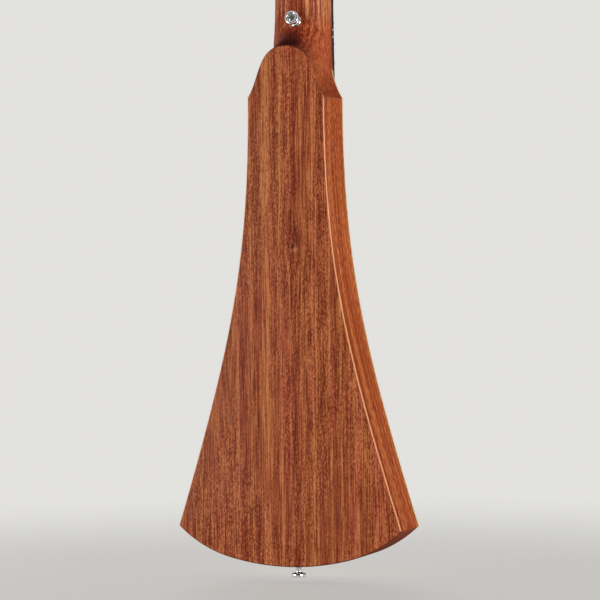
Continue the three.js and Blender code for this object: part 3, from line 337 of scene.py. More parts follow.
def make_open_grain():
    group, entry, leave = new_group("open_grain", {
        "Place": (0, 0, 0),
        "Band Width": 14 * mm,
        "Streak Width": 1.6 * mm,
        "Wander": 3 * mm,
        "Mottle": 1.4,
        "Fleck Width": 1.0 * mm,
    }, ("Tone", "Pores", "Warmth", "Height"))
    weights = {"bands": 0.3, "streaks": 1.7, "blotches": 0.15}
    calm_range = (0.35, 0.6)
    mottle_shares = (0.5, 1.2)
    pore_range = (0.58, 0.74)
    streak_relief_share = 0.5

    made = grain_patterns(group, entry.outputs)
    lively = remap(group, made["calm"], *calm_range, *mottle_shares)
    mottle = off_middle(group, made["flecks"], times(group, entry.outputs["Mottle"], lively))
    tone = compute(group, "ADD", mottle, noise_middle)
    for name, weight in weights.items():
        tone = compute(group, "ADD", tone, off_middle(group, made[name], weight))
    pores = remap(group, made["dashes"], *pore_range)
    relief = times(group, made["streaks"], streak_relief_share)
    feed(group, leave.inputs["Tone"], compute(group, "ADD", tone, clamp=True))
    feed(group, leave.inputs["Pores"], pores)
    feed(group, leave.inputs["Warmth"], remap(group, made["warmth"], *noise_range))
    feed(group, leave.inputs["Height"], compute(group, "SUBTRACT", relief, pores))
    return group


open_grain = make_open_grain()
print("group:", open_grain.name, "with", len(open_grain.nodes), "nodes")

# %% [markdown]
# Sanding and handling wear the edges of a piece first. A Bevel node gives the normal that a rounded edge
# would have; where it differs from the true normal, there is an edge. This works on any shape, without
# painting.

# %% Group: edges
def make_edges():
    group, entry, leave = new_group("edges", {"Reach": 1 * mm, "Sharpness": 3.0}, ("Edge",))
    rounded = add(group, "ShaderNodeBevel", {"samples": 6}, Radius=entry.outputs["Reach"]).outputs[0]
    true_normal = add(group, "ShaderNodeNewGeometry").outputs["Normal"]
    lost = compute(group, "SUBTRACT", 1.0, compute_place(group, "DOT_PRODUCT", rounded, true_normal))
    worn = compute(group, "MULTIPLY", lost, entry.outputs["Sharpness"], clamp=True)
    feed(group, leave.inputs["Edge"], worn)
    return group


edges = make_edges()
print("group:", edges.name, "with", len(edges.nodes), "nodes")

# %% [markdown]
# Nothing that is touched has one even gloss. This group gives slow clouds, as hands and cloths leave them,
# and very fine hairlines. The clouds change the roughness of every finish a little, and the hairlines mark
# the metals.

# %% Group: handling
def make_handling():
    start_values = {"Cloud Size": 25 * mm, "Hairline Width": 0.35 * mm}
    group, entry, leave = new_group("handling", start_values, ("Clouds", "Hairlines"))
    hair_slimness = 30.0
    hair_range = (0.55, 0.75)
    hair_turn = 0.6

    place = object_place(group)
    scale = compute(group, "DIVIDE", 1.0, entry.outputs["Cloud Size"])
    clouds = add(group, "ShaderNodeTexNoise", Vector=place, Scale=scale, Detail=3.0, Roughness=0.6).outputs[0]
    across = compute(group, "DIVIDE", 1.0, entry.outputs["Hairline Width"])
    along = compute(group, "DIVIDE", across, hair_slimness)
    rotation = {"rotation_type": "AXIS_ANGLE"}
    aslant = add(group, "ShaderNodeVectorRotate", rotation, Vector=place, Angle=hair_turn).outputs[0]
    scaled = compute_place(group, "MULTIPLY", aslant, join(group, across, along, along))
    hairs = noise(group, scaled, detail=1.0)
    feed(group, leave.inputs["Clouds"], clouds)
    feed(group, leave.inputs["Hairlines"], remap(group, hairs, *hair_range))
    return group


handling = make_handling()
print("group:", handling.name, "with", len(handling.nodes), "nodes")

# %% [markdown]
# Each finish is a material with one Principled shader, which is where gloss, metal and coat belong. One
# helper opens the material, another places a group in it, and the last one feeds colour, roughness and bump
# into its shader.

# %% Helpers for finishes
finishes = {}


def new_finish(slot, **uniform):
    """A material for a slot, with the numbers that are the same all over set on the shader."""
    material = bpy.data.materials.new(slot)
    material.use_nodes = True
    tree = material.node_tree
    shader = tree.nodes["Principled BSDF"]
    for name, value in uniform.items():
        shader.inputs[name.replace("_", " ")].default_value = value
    finishes[slot] = material
    return tree, shader


def use(tree, group, **inputs):
    """The outputs of a shared group, placed in a material with this material's own values."""
    return add(tree, "ShaderNodeGroup", {"node_tree": group}, **inputs).outputs


def handled(tree, gloss_range, **inputs):
    """Roughness that drifts between two values with the clouds of handling."""
    clouds = use(tree, handling, **inputs)["Clouds"]
    return remap(tree, clouds, *noise_range, *gloss_range)


def bump(tree, height, strength, distance):
    return add(tree, "ShaderNodeBump", Strength=strength, Distance=distance, Height=height).outputs[0]


def dress(tree, shader, colour, gloss, normal):
    for label, value in (("Base Color", colour), ("Roughness", gloss), ("Normal", normal)):
        feed(tree, shader.inputs[label], value)


print("helpers for finishes ready")

# %% [markdown]
# The back is one wide board of red-brown wood. Its ribbons of colour run the whole length, so each has
# its place across the board, a half width and a lift of the tone: up for a golden ribbon, down for a dark
# one. Slow noise makes them sway and fade. A ramp then turns the tone into one of five colours and the
# blends between them. A picture of wood laid on the board would smear at its edges, while a formula runs
# through the solid wood to every side.

# %% Ribbons and tones of the back
# Place and half width of each ribbon in millimetres, and its lift of tone
back_ribbons = [
    (-71, 6, 0.06), (-56, 4, -0.08), (-46, 0.9, 0.3), (-41, 3.2, -0.16), (-33, 0.8, 0.2),
    (-27.5, 2.6, -0.15), (-22, 1.1, 0.26), (-18, 2.4, 0.28), (-11, 2.4, -0.08), (-5.8, 0.9, 0.4),
    (-0.5, 1.6, -0.06), (2.5, 0.8, 0.22), (7, 3.2, -0.17), (14, 0.8, 0.18), (17, 2.2, -0.1),
    (23.4, 0.8, 0.4), (26.5, 0.7, 0.22), (31, 2.6, -0.1), (39, 0.9, 0.26), (44, 2, -0.08),
    (48.5, 0.8, 0.28), (53, 2.4, -0.1), (62, 2.6, 0.18), (78, 5, 0.06),
]
back_tones = {
    "dark": srgb(98, 38, 19),
    "red": srgb(126, 59, 35),
    "middle": srgb(145, 76, 47),
    "orange": srgb(161, 91, 57),
    "golden": srgb(187, 118, 76),
    "pore": srgb(80, 34, 20),
    # The arris colour is wear and a painted highlight; the end colour is end grain and painted shade
    "arris": srgb(232, 162, 116),
    "end": srgb(64, 20, 9),
}
tone_places = {"dark": 0.12, "red": 0.36, "middle": 0.52, "orange": 0.68, "golden": 0.92}
red_tint = srgb(255, 240, 246)
gold_tint = srgb(252, 255, 232)


def ribbons(tree, place, table):
    """Sum of the soft ribbons of a table, from the place across the board."""
    sway_length = 300 * mm
    sway_reach = 4 * mm
    fade_width = 25 * mm
    fade_length = 90 * mm
    fade_range = (0.3, 0.6)
    fade_shares = (0.5, 1.1)

    sway = noise_of_size(tree, place, (sway_length, sway_length, sway_length), detail=0.0)
    across = compute(tree, "ADD", split(tree, place)["X"], off_middle(tree, sway, sway_reach))
    total = 0.0
    for middle, half, lift in table:
        share = compute(tree, "DIVIDE", compute(tree, "SUBTRACT", across, middle * mm), half * mm)
        ribbon = times(tree, bell(tree, times(tree, share, share)), lift)
        total = compute(tree, "ADD", total, ribbon)
    fade = noise_of_size(tree, place, (fade_width, fade_width, fade_length))
    return times(tree, total, remap(tree, fade, *fade_range, *fade_shares))


def wood_colour(tree, tone, warmth, tones):
    colour = ramp(tree, tone, [(place, tones[name]) for name, place in tone_places.items()])
    return mix(tree, 1.0, colour, mix(tree, warmth, red_tint, gold_tint), "MULTIPLY")


print("ribbons across the back:", len(back_ribbons))

# %% [markdown]
# A small knot sits beside the middle line of the back, on the bass side, and the grain parts round it. The
# parting is made by pushing the place sideways before the grain reads it. The knot itself is three soft
# patches: a wine-red shade above, a pale swirl, and the slanting dark core.

# %% Knot of the back
knot_x = 5.3 * mm
knot_z = -482 * mm
knot_width = 9 * mm
knot_length = 22 * mm
knot_pull = 0.75
# Place beside the knot's middle and half sizes in millimetres, slant, colour, strength and blend
knot_patches = [
    (2.7, 9, 5, 9, 0, srgb(208, 176, 196), 1.0, "MULTIPLY"),
    (2.8, -2.6, 1.8, 1.8, 0, srgb(190, 124, 84), 0.8, "MIX"),
    (0, 0, 1.3, 2.4, 0.45, srgb(54, 16, 7), 1.0, "MIX"),
]


def patch(tree, place, middle_x, middle_z, half_x, half_z, slant=0.0):
    """A soft round patch on the board, 1 in its middle, with a half size each way and leaning by a slant."""
    axes = split(tree, place)
    away_z = compute(tree, "SUBTRACT", axes["Z"], middle_z)
    away_x = compute(tree, "SUBTRACT", axes["X"], middle_x)
    away_x = compute(tree, "SUBTRACT", away_x, times(tree, away_z, slant))
    total = 0.0
    for away, half in ((away_x, half_x), (away_z, half_z)):
        share = compute(tree, "DIVIDE", away, half)
        total = compute(tree, "ADD", total, times(tree, share, share))
    return bell(tree, total)


def part_round_knot(tree, place):
    """Bends the place sideways round the knot, so that the grain parts there."""
    away = compute(tree, "SUBTRACT", split(tree, place)["X"], knot_x)
    near = patch(tree, place, knot_x, knot_z, knot_width, knot_length)
    aside = times(tree, times(tree, away, near), knot_pull)
    return compute_place(tree, "SUBTRACT", place, join(tree, aside))


def draw_knot(tree, place, colour):
    for beside, above, half_x, half_z, slant, tint, strength, mode in knot_patches:
        middle = (knot_x + beside * mm, knot_z + above * mm)
        spot = patch(tree, place, *middle, half_x * mm, half_z * mm, slant)
        colour = cover(tree, colour, tint, spot, strength, mode)
    return colour


print("patches of the knot:", len(knot_patches))

# %% [markdown]
# Two things depend on how the surface lies. The rounded arris of the back is paler, partly where sanding
# has thinned the stain and partly as a painted highlight of the light that the rounding catches, and it is
# found from its normal, which points neither along Y nor across it. Wood that faces along Z shows its cut
# fibres. They drink finish, so such end grain is dark and matt, and the same dark colour is painted shade
# on faces along Z, such as the underside of the tail and the hollow of the heel.

# %% Arris and end grain, with their painted highlight and painted shade
arris_rise = 4 * mm
arris_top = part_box("side_bass")[1].z + arris_rise
arris_fade = 8 * mm
# How squarely a surface faces an axis where the arris begins and where it is full
arris_from_side = (0.15, 0.4)
arris_from_face = (0.94, 0.8)
arris_from_tail = (0.42, 0.3)
end_range = (0.3, 0.9)
end_matt = 0.95
end_and_shade_share = 0.8


def facing(tree, axis):
    """How squarely the surface faces along an axis, one way or the other, from 0 to 1."""
    normal = add(tree, "ShaderNodeTexCoord").outputs["Normal"]
    return compute(tree, "ABSOLUTE", split(tree, normal)[axis])


def back_arris_wear_and_highlight(tree):
    """1 on the rounded edges of the back along the sides, below the shoulders and above the tail, where the
    paler colour is wear and a painted highlight.
    """
    height = split(tree, object_place(tree))["Z"]
    below = remap(tree, height, arris_top, arris_top - arris_fade)
    along = times(tree, below, remap(tree, facing(tree, "Z"), *arris_from_tail))
    flat = facing(tree, "Y")
    edge = times(tree, remap(tree, flat, *arris_from_face), remap(tree, flat, *arris_from_side))
    return times(tree, edge, along)


# Faces along Z: end grain, and also undersides and hollows, where the dark end colour is painted shade
def end_grain(tree):
    return remap(tree, facing(tree, "Z"), *end_range)


def darken_ends_and_paint_shade(tree, colour, tones, cross):
    """The dark colour of end grain, which is also painted shade on faces along Z, such as the underside of
    the tail.
    """
    return cover(tree, colour, tones["end"], cross, end_and_shade_share)


def dry_ends(tree, gloss, cross):
    """The matt surface of end grain."""
    return compute(tree, "MAXIMUM", gloss, times(tree, cross, end_matt))


print("arris starts at", round(arris_top / mm, 1), "mm")

# %% [markdown]
# With ribbons, knot, arris and end grain at hand, the finish of the back is a list of layers, laid one over
# the other: the toned grain, its pores, the knot, the paler arris with its painted highlight, and the dark
# end grain, which is also painted shade where the edge faces along Z.

# %% Finish: wood of the back
wood_shine = 0.12


def make_back_wood():
    pore_strength = 0.5
    arris_strength = 0.85
    gloss_range = (0.42, 0.52)
    pore_matt = 0.2

    tree, shader = new_finish("back_wood", IOR=1.5, Specular_IOR_Level=wood_shine)
    place = object_place(tree)
    parted = part_round_knot(tree, place)
    grain = use(tree, open_grain, Place=parted, Streak_Width=0.85 * mm, Mottle=1.45, Fleck_Width=0.75 * mm)
    tone = compute(tree, "ADD", grain["Tone"], ribbons(tree, parted, back_ribbons), clamp=True)
    colour = wood_colour(tree, tone, grain["Warmth"], back_tones)
    colour = cover(tree, colour, back_tones["pore"], grain["Pores"], pore_strength)
    colour = draw_knot(tree, place, colour)
    # The paler arris: sanding wear and a painted highlight
    colour = cover(tree, colour, back_tones["arris"], back_arris_wear_and_highlight(tree), arris_strength)
    cross = end_grain(tree)
    # Dark end grain, and painted shade on the board's edges that face along Z
    colour = darken_ends_and_paint_shade(tree, colour, back_tones, cross)
    gloss = compute(tree, "ADD", handled(tree, gloss_range), times(tree, grain["Pores"], pore_matt))
    normal = bump(tree, grain["Height"], strength=0.5, distance=0.12 * mm)
    dress(tree, shader, colour, dry_ends(tree, gloss, cross), normal)


make_back_wood()
print("finish: back_wood")

# %% [markdown]
# The sides are thinner, bent strips of the same wood, cut with a straighter face: fewer pores, a more even
# orange tone and long fine streaks. The grain was bent with the strip, so it follows the curve of the body.
# The place is turned to suit before the grain reads it: the depth of the strip lies across the grain, and
# all else along it.

# %% Finish: wood of the sides
side_tones = {
    "dark": srgb(124, 51, 24),
    "red": srgb(148, 68, 35),
    "middle": srgb(167, 83, 45),
    "orange": srgb(180, 95, 53),
    "golden": srgb(200, 120, 74),
    "pore": srgb(112, 48, 27),
    "arris": srgb(222, 150, 100),
    # The end colour is end grain and painted shade on the underside of the tail strip
    "end": srgb(88, 30, 18),
}
# Place and half width of each ribbon through the depth of the strip, in millimetres, and its lift of tone
side_ribbons = [(-46, 4, -0.16), (-37, 3, 0.14), (-28, 4, -0.1), (-12, 5, 0.1)]


def along_strip(tree):
    """The place on a strip that was bent round Y, with its depth as the only way across the grain."""
    axes = split(tree, object_place(tree))
    return join(tree, axes["Y"], z=compute(tree, "ADD", axes["X"], axes["Z"]))


def make_plain_wood(
    slot, tones, table, place, darkening, pore_strength, arris_strength, gloss_range, **grain_values,
):
    """Wood of the sides and of the neck. Two functions say how the grain lies and how the ends darken, with
    painted shade.
    """
    tree, shader = new_finish(slot, IOR=1.5, Specular_IOR_Level=wood_shine)
    spot = place(tree)
    grain = use(tree, open_grain, Place=spot, Band_Width=10 * mm, Wander=5 * mm, **grain_values)
    tone = compute(tree, "ADD", grain["Tone"], ribbons(tree, spot, table), clamp=True)
    colour = wood_colour(tree, tone, grain["Warmth"], tones)
    cross = end_grain(tree)
    # End grain and painted shade on faces along Z
    colour = darkening(tree, colour, tones, cross)
    colour = cover(tree, colour, tones["pore"], grain["Pores"], pore_strength)
    edge = use(tree, edges, Reach=1.0 * mm, Sharpness=2.5)["Edge"]
    colour = cover(tree, colour, tones["arris"], edge, arris_strength)
    gloss = dry_ends(tree, handled(tree, gloss_range), cross)
    normal = bump(tree, grain["Height"], strength=0.35, distance=0.08 * mm)
    dress(tree, shader, colour, gloss, normal)


make_plain_wood(
    "side_wood", side_tones, side_ribbons, along_strip, darken_ends_and_paint_shade,
    pore_strength=0.3, arris_strength=0.2, gloss_range=(0.42, 0.5),
    Streak_Width=4 * mm, Fleck_Width=1.5 * mm, Mottle=2.2,
)
print("finish: side_wood")

# %% [markdown]
# The neck is carved from a thick block, so its surface cuts through the grain at all angles. The same group
# does that by itself, because it is a solid pattern: on the carved heel the lines swirl as they do on real
# wood. The heel is painted darker than the neck above it, as shade where its flare turns away from the
# lamps. Its end grain and hollow take the dark end colour, partly end grain and partly painted shade, less
# so on the cheek that turns to the bass side, and a soft painted shadow lies low on the curve, a little
# to the treble side.

# %% Finish: wood of the neck
neck_tones = {
    "dark": srgb(108, 43, 24),
    "red": srgb(134, 62, 39),
    "middle": srgb(154, 84, 55),
    "orange": srgb(177, 108, 73),
    "golden": srgb(208, 144, 104),
    "pore": srgb(92, 38, 23),
    "arris": srgb(208, 142, 96),
    # End grain and painted shade in the heel's hollow; then painted shade over the heel and a painted shadow
    # low on it
    "end": srgb(60, 13, 6),
    "painted_heel_shade": srgb(244, 206, 188),
    "shade": srgb(200, 168, 168),
}
neck_ribbons = [
    (-17, 4, -0.06), (-2, 5, -0.12), (6, 2.5, -0.1), (10.5, 1.2, 0.18), (12.3, 0.8, -0.08), (14, 1.1, 0.18),
    (16.3, 0.9, -0.08), (18.5, 1.4, 0.14), (24, 3, 0.16),
]
# Where the painted heel shade begins and is full, and where the painted end shade fades towards the bass
# cheek
heel_shade_top = -272 * mm
heel_shade_full = -296 * mm
cheek_shade_start = 3 * mm
cheek_shade_full = 12 * mm
heel_shade_shares = (1.0, 0.45)
head_end_share = 0.4
# Middle and half sizes of the painted shadow low on the heel's curve
shade_middle = (-3 * mm, -299 * mm)
shade_half_width = 9 * mm
shade_half_length = 6 * mm


def paint_heel_shade(tree, colour, tones, cross):
    """The painted shade of the heel, the dark colour of its end grain and hollow, partly painted shade, and
    the soft painted shadow low on its curve.
    """
    place = object_place(tree)
    axes = split(tree, place)
    heel = remap(tree, axes["Z"], heel_shade_top, heel_shade_full)
    # Painted shade over the lower neck and heel
    colour = cover(tree, colour, tones["painted_heel_shade"], heel, mode="MULTIPLY")
    # End grain and painted shade in the hollow, less towards the bass cheek
    end_grain_and_shade = times(tree, cross, compute(tree, "MAXIMUM", heel, head_end_share))
    share = remap(tree, axes["X"], cheek_shade_start, cheek_shade_full, *heel_shade_shares)
    colour = cover(tree, colour, tones["end"], end_grain_and_shade, share)
    # A painted shadow low on the heel's curve
    shade = patch(tree, place, *shade_middle, shade_half_width, shade_half_length)
    return cover(tree, colour, tones["shade"], shade, mode="MULTIPLY")


make_plain_wood(
    "neck_wood", neck_tones, neck_ribbons, object_place, paint_heel_shade,
    pore_strength=0.5, arris_strength=0.25, gloss_range=(0.46, 0.56),
    Streak_Width=1.3 * mm, Fleck_Width=0.9 * mm, Mottle=0.9,
)
print("finish: neck_wood")

# %% [markdown]
# Spruce is pale and close-grained. Its growth rings show as fine parallel lines about a millimetre apart,
# narrow and brown on one side and soft on the other, and silky flecks run across them. The same recipe with
# wider rings and no polish serves the braces and linings, whose wood is split from the same kind of board.

# %% Finishes: spruce of the soundboard and of the braces
def spruce_rings(tree, place, ring_width):
    """0 in the soft early wood of each growth ring, rising to 1 in its narrow late wood."""
    sway_length = 260 * mm
    sway_width = sway_length / 4
    sway_reach = 6 * mm
    late_power = 4.0

    sway = noise_of_size(tree, place, (sway_width, sway_width, sway_length))
    across = compute(tree, "ADD", split(tree, place)["X"], times(tree, sway, sway_reach))
    ring = compute(tree, "FRACT", compute(tree, "DIVIDE", across, ring_width))
    return compute(tree, "POWER", ring, late_power)


def make_spruce(slot, light, dark, ring_width, gloss_range, coat):
    late_weight = 0.65
    cloud_weight = 0.35
    cloud_length = 130 * mm
    cloud_width = cloud_length / 6
    silk_width = 2.2 * mm
    silk_length = silk_width / 6
    silk_range = (0.5, 0.7)
    silk_strength = 0.12
    arris_strength = 0.4

    tree, shader = new_finish(slot, Coat_Weight=coat, Coat_Roughness=0.25, IOR=1.5)
    place = object_place(tree)
    late = spruce_rings(tree, place, ring_width)
    clouds = noise_of_size(tree, place, (cloud_width, cloud_width, cloud_length))
    amount = compute(
        tree, "ADD", times(tree, late, late_weight), times(tree, clouds, cloud_weight), clamp=True,
    )
    colour = mix(tree, amount, light, dark)
    flecks = noise_of_size(tree, place, (silk_width, silk_width, silk_length), detail=1.0)
    silk = remap(tree, flecks, *silk_range)
    colour = cover(tree, colour, srgb(255, 240, 205), silk, silk_strength)
    edge = use(tree, edges, Reach=0.8 * mm, Sharpness=2.5)["Edge"]
    colour = cover(tree, colour, srgb(250, 226, 176), edge, arris_strength)
    normal = bump(tree, late, strength=0.3, distance=0.05 * mm)
    dress(tree, shader, colour, handled(tree, gloss_range), normal)


make_spruce(
    "spruce", srgb(232, 204, 150), srgb(188, 141, 84),
    ring_width=1.15 * mm, gloss_range=(0.38, 0.47), coat=0.2,
)
make_spruce(
    "brace_wood", srgb(226, 200, 152), srgb(178, 136, 88),
    ring_width=1.9 * mm, gloss_range=(0.66, 0.75), coat=0.0,
)
print("finishes: spruce and brace_wood")

# %% [markdown]
# Fingerboard and bridge are a dense black composite. It isn't quite black: fine short fibres lie along the
# board, and the surface has a dry, even sheen.

# %% Finish: black composite
def make_black():
    fibre_width = 0.5 * mm
    fibre_length = fibre_width / 0.06
    fibre_range = (0.35, 0.75)
    arris_strength = 0.35

    tree, shader = new_finish("black_composite", IOR=1.5, Specular_IOR_Level=0.3)
    fibres = noise_of_size(tree, object_place(tree), (fibre_width, fibre_width, fibre_length))
    colour = mix(tree, remap(tree, fibres, *fibre_range), srgb(24, 22, 22), srgb(47, 42, 39))
    edge = use(tree, edges, Reach=0.6 * mm, Sharpness=2.0)["Edge"]
    colour = cover(tree, colour, srgb(92, 84, 78), edge, arris_strength)
    gloss = handled(tree, (0.42, 0.58), Cloud_Size=18 * mm)
    dress(tree, shader, colour, gloss, bump(tree, fibres, strength=0.25, distance=0.04 * mm))


make_black()
print("finish: black_composite")

# %% [markdown]
# Bone is warm white, a little translucent and faintly streaked. A small amount of subsurface light keeps
# the thin edges of nut, saddle and pins from looking like chalk.

# %% Finish: bone
def make_bone():
    streak_width = 1.2 * mm
    streak_length = 8 * mm
    streak_range = (0.35, 0.75)

    tree, shader = new_finish(
        "bone", Subsurface_Weight=0.15, Subsurface_Scale=1.5 * mm, IOR=1.5, Coat_Weight=0.2,
    )
    streaks = noise_of_size(tree, object_place(tree), (streak_length, streak_width, streak_width), detail=3.0)
    colour = mix(tree, remap(tree, streaks, *streak_range), srgb(240, 232, 212), srgb(214, 200, 170))
    gloss = handled(tree, (0.3, 0.42), Cloud_Size=8 * mm)
    dress(tree, shader, colour, gloss, bump(tree, streaks, strength=0.1, distance=0.03 * mm))


make_bone()
print("finish: bone")

# %% [markdown]
# Chrome is almost a mirror, so what makes it look real is what disturbs the mirror: hairlines, a slow
# ripple in the plating and faint finger clouds. Steel parts such as screws and frets are the same metal
# with a duller surface.

# %% Finishes: chrome and steel
def make_metal(slot, light, dark, gloss_range, scratch, ripple):
    tarnish_range = (0.35, 0.7)
    hair_depth = 0.1

    tree, shader = new_finish(slot, Metallic=1.0)
    touched = use(tree, handling, Cloud_Size=6 * mm, Hairline_Width=0.18 * mm)
    clouds, hairlines = touched["Clouds"], touched["Hairlines"]
    colour = mix(tree, remap(tree, clouds, *tarnish_range), light, dark)
    gloss = remap(tree, clouds, *noise_range, *gloss_range)
    gloss = compute(tree, "ADD", gloss, times(tree, hairlines, scratch))
    relief = compute(tree, "SUBTRACT", times(tree, clouds, ripple), times(tree, hairlines, hair_depth))
    dress(tree, shader, colour, gloss, bump(tree, relief, strength=0.3, distance=0.03 * mm))


make_metal(
    "chrome", srgb(236, 236, 238), srgb(218, 220, 224), gloss_range=(0.04, 0.1), scratch=0.08, ripple=1.0,
)
make_metal(
    "steel", srgb(172, 174, 173), srgb(132, 135, 134), gloss_range=(0.2, 0.3), scratch=0.12, ripple=0.6,
)
print("finishes: chrome and steel")

# %% [markdown]
# The two thin strings are bare steel. The other four have a core wrapped in bronze wire, which catches the
# light as fine rings. The rings are too fine to model one by one, so they are a wave in the bump, along the
# string.

# %% Finishes: strings
def make_string(slot, colour, tarnish, pitch=None):
    tree, shader = new_finish(slot, Metallic=1.0)
    clouds = use(tree, handling, Cloud_Size=14 * mm)["Clouds"]
    feed(tree, shader.inputs["Base Color"], mix(tree, clouds, colour, tarnish))
    feed(tree, shader.inputs["Roughness"], remap(tree, clouds, *noise_range, 0.22, 0.36))
    if pitch:
        along = split(tree, object_place(tree))["Z"]
        turns = compute(tree, "SINE", times(tree, along, 2 * math.pi / pitch))
        feed(tree, shader.inputs["Normal"], bump(tree, turns, strength=0.6, distance=0.06 * mm))


make_string("plain_string", srgb(205, 205, 208), srgb(176, 176, 180))
make_string("wound_string", srgb(206, 152, 92), srgb(168, 116, 66), pitch=0.5 * mm)
print("finishes: plain_string and wound_string")

# %% [markdown]
# Three soft lamps light the guitar. Two stand behind it, left and right of the camera, at about the height
# of the body. Little light comes from above, so the hollow of the heel falls into shade as it does on the
# real one. The third stands in front of the guitar, where it brightens the soundboard, and reflections
# leave it out.

# %% Lamps
aim_depth = 25 * mm
aim_drop = 150 * mm
aim = Vector((0, -aim_depth, (cad_box[0].z + cad_box[1].z) / 2 - aim_drop))
# Place, width and height of each lamp in metres, its watts, and whether reflections show it
lamps = {
    "lamp_left": ((-1.7, -1.5, -0.6), 1.1, 0.3, 32, True),
    "lamp_right": ((3.2, -1.65, -0.6), 1.6, 0.45, 128, True),
    "lamp_front": ((-1.0, 2.0, 0.1), 1.2, 1.2, 34, False),
}
for name, (spot, width, height, power, mirrored) in lamps.items():
    data = bpy.data.lights.new(name, "AREA")
    data.shape = "RECTANGLE"
    data.size = width
    data.size_y = height
    data.energy = power
    made = bpy.data.objects.new(name, data)
    made.visible_glossy = mirrored
    made.location = spot
    made.rotation_mode = "QUATERNION"
    made.rotation_quaternion = (aim - Vector(spot)).to_track_quat("-Z", "Y")
    bpy.context.scene.collection.objects.link(made)
print("lamps:", len(lamps))

# %% [markdown]
# The sky is pale for the camera alone. As light on the guitar it is faint, because the lamps do that work.
# Mirrors see a third version: pale to both sides and dark straight ahead and behind, which gives chrome its
# contrast.

# %% Sky
pale = srgb(226, 225, 222)


def make_sky():
    fill_light = 0.16
    mirrored_light = (0.03, 1.0)
    # Size of a direction's part along Y where mirrors see dark, and where they see light
    dark_to_light = (0.86, 0.5)

    world = bpy.data.worlds.new("sky")
    world.use_nodes = True
    bpy.context.scene.world = world
    tree = world.node_tree
    towards = split(tree, add(tree, "ShaderNodeTexCoord").outputs["Generated"])
    lit_side = remap(tree, compute(tree, "ABSOLUTE", towards["Y"]), *dark_to_light, *mirrored_light)
    path = add(tree, "ShaderNodeLightPath").outputs
    mirrored = compute(tree, "MAXIMUM", path["Is Glossy Ray"], path["Is Transmission Ray"])
    strength = add(tree, "ShaderNodeMix", {"data_type": "FLOAT"})
    for place, value in ((0, mirrored), (2, fill_light), (3, lit_side)):
        feed(tree, strength.inputs[place], value)
    shown = tree.nodes["Background"]
    shown.inputs["Color"].default_value = pale
    feed(tree, shown.inputs["Strength"], compute(tree, "MAXIMUM", path["Is Camera Ray"], strength.outputs[0]))


make_sky()
print("world:", bpy.context.scene.world.name)

# %% [markdown]
# The floor is a wide pale disc just under the guitar. Close to the guitar it is a real surface that keeps
# the shadow. Further out it fades into the colour of the sky, for the camera and for reflections, so no
# horizon shows.

# %% Floor
floor_gap = 3 * mm
floor_radius = 9.0
floor_z = cad_box[0].z - floor_gap


def floor_finish():
    grain_size = 9 * mm
    fade_range = (0.2, 0.9)
    fade_shares = (0.55, 1.0)

    material = bpy.data.materials.new("floor")
    material.use_nodes = True
    tree = material.node_tree
    shader = tree.nodes["Principled BSDF"]
    shader.inputs["Roughness"].default_value = 0.9
    place = object_place(tree)
    grain = remap(tree, noise_of_size(tree, place, (grain_size, grain_size, grain_size)), *noise_range)
    feed(tree, shader.inputs["Base Color"], mix(tree, grain, srgb(222, 221, 218), srgb(228, 227, 224)))
    reach = compute_place(tree, "LENGTH", compute_place(tree, "MULTIPLY", place, (1, 1, 0)))
    far = remap(tree, reach, *fade_range, *fade_shares)
    path = add(tree, "ShaderNodeLightPath").outputs
    seen = compute(tree, "MAXIMUM", path["Is Camera Ray"], path["Is Glossy Ray"])
    seen = compute(tree, "MAXIMUM", seen, path["Is Transmission Ray"])
    both = add(tree, "ShaderNodeMixShader")
    shown = add(tree, "ShaderNodeEmission", Color=pale)
    for socket, value in zip(both.inputs, (times(tree, far, seen), shader.outputs[0], shown.outputs[0])):
        feed(tree, socket, value)
    feed(tree, tree.nodes["Material Output"].inputs[0], both.outputs[0])
    return material


shape = bmesh.new()
bmesh.ops.create_circle(shape, cap_ends=True, radius=floor_radius, segments=96)
mesh = bpy.data.meshes.new("floor")
shape.to_mesh(mesh)
shape.free()
mesh.transform(Matrix.Translation((0, 0, floor_z)))
mesh.materials.append(floor_finish())
floor = bpy.data.objects.new("floor", mesh)
bpy.context.scene.collection.objects.link(floor)
floor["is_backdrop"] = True
print("floor at", round(floor_z / mm, 1), "mm")

# %% [markdown]
# Pieces are meshes made by code, because then their measures can follow the frame. Most of them are a
# loft, which is a skin over a row of outlines with flat caps at its ends. Boards, strips and blocks are
# short lofts too.

# %% Helpers for lofts
def loft(rings, closed=False):
    """A skin over rings of equally many points, with flat caps at both ends unless it closes on itself."""
    shape = bmesh.new()
    rows = [[shape.verts.new(point) for point in ring] for ring in rings]
    count = len(rows[0])
    last = len(rows) if closed else len(rows) - 1
    for row in range(last):
        here, there = rows[row], rows[(row + 1) % len(rows)]
        for column in range(count):
            after = (column + 1) % count
            shape.faces.new((here[column], here[after], there[after], there[column]))
    if not closed:
        shape.faces.new(rows[0])
        shape.faces.new(rows[-1])
    return shape


def strip_ring(outer, inner, low_y, high_y):
    """Section of a thin strip, from its outer and inner place (x, z), between two depths."""
    corners = ((outer, low_y), (outer, high_y), (inner, high_y), (inner, low_y))
    return [(x, y, z) for (x, z), y in corners]


def slab(outline, low_y, high_y):
    """A flat piece from one y to another, from an outline of (x, z) points."""
    return loft([[(x, y, z) for x, z in outline] for y in (low_y, high_y)])


def block(low, high):
    outline = [(low[0], low[2]), (high[0], low[2]), (high[0], high[2]), (low[0], high[2])]
    return slab(outline, low[1], high[1])


print("helpers for lofts ready")

# %% [markdown]
# Much of the hardware came off a lathe, so one helper turns a profile round an axis. A rod is the
# simplest case of it. The other helpers here move a shape to its place.

# %% Helpers for turned and moved shapes
merge_reach = 0.0005 * mm


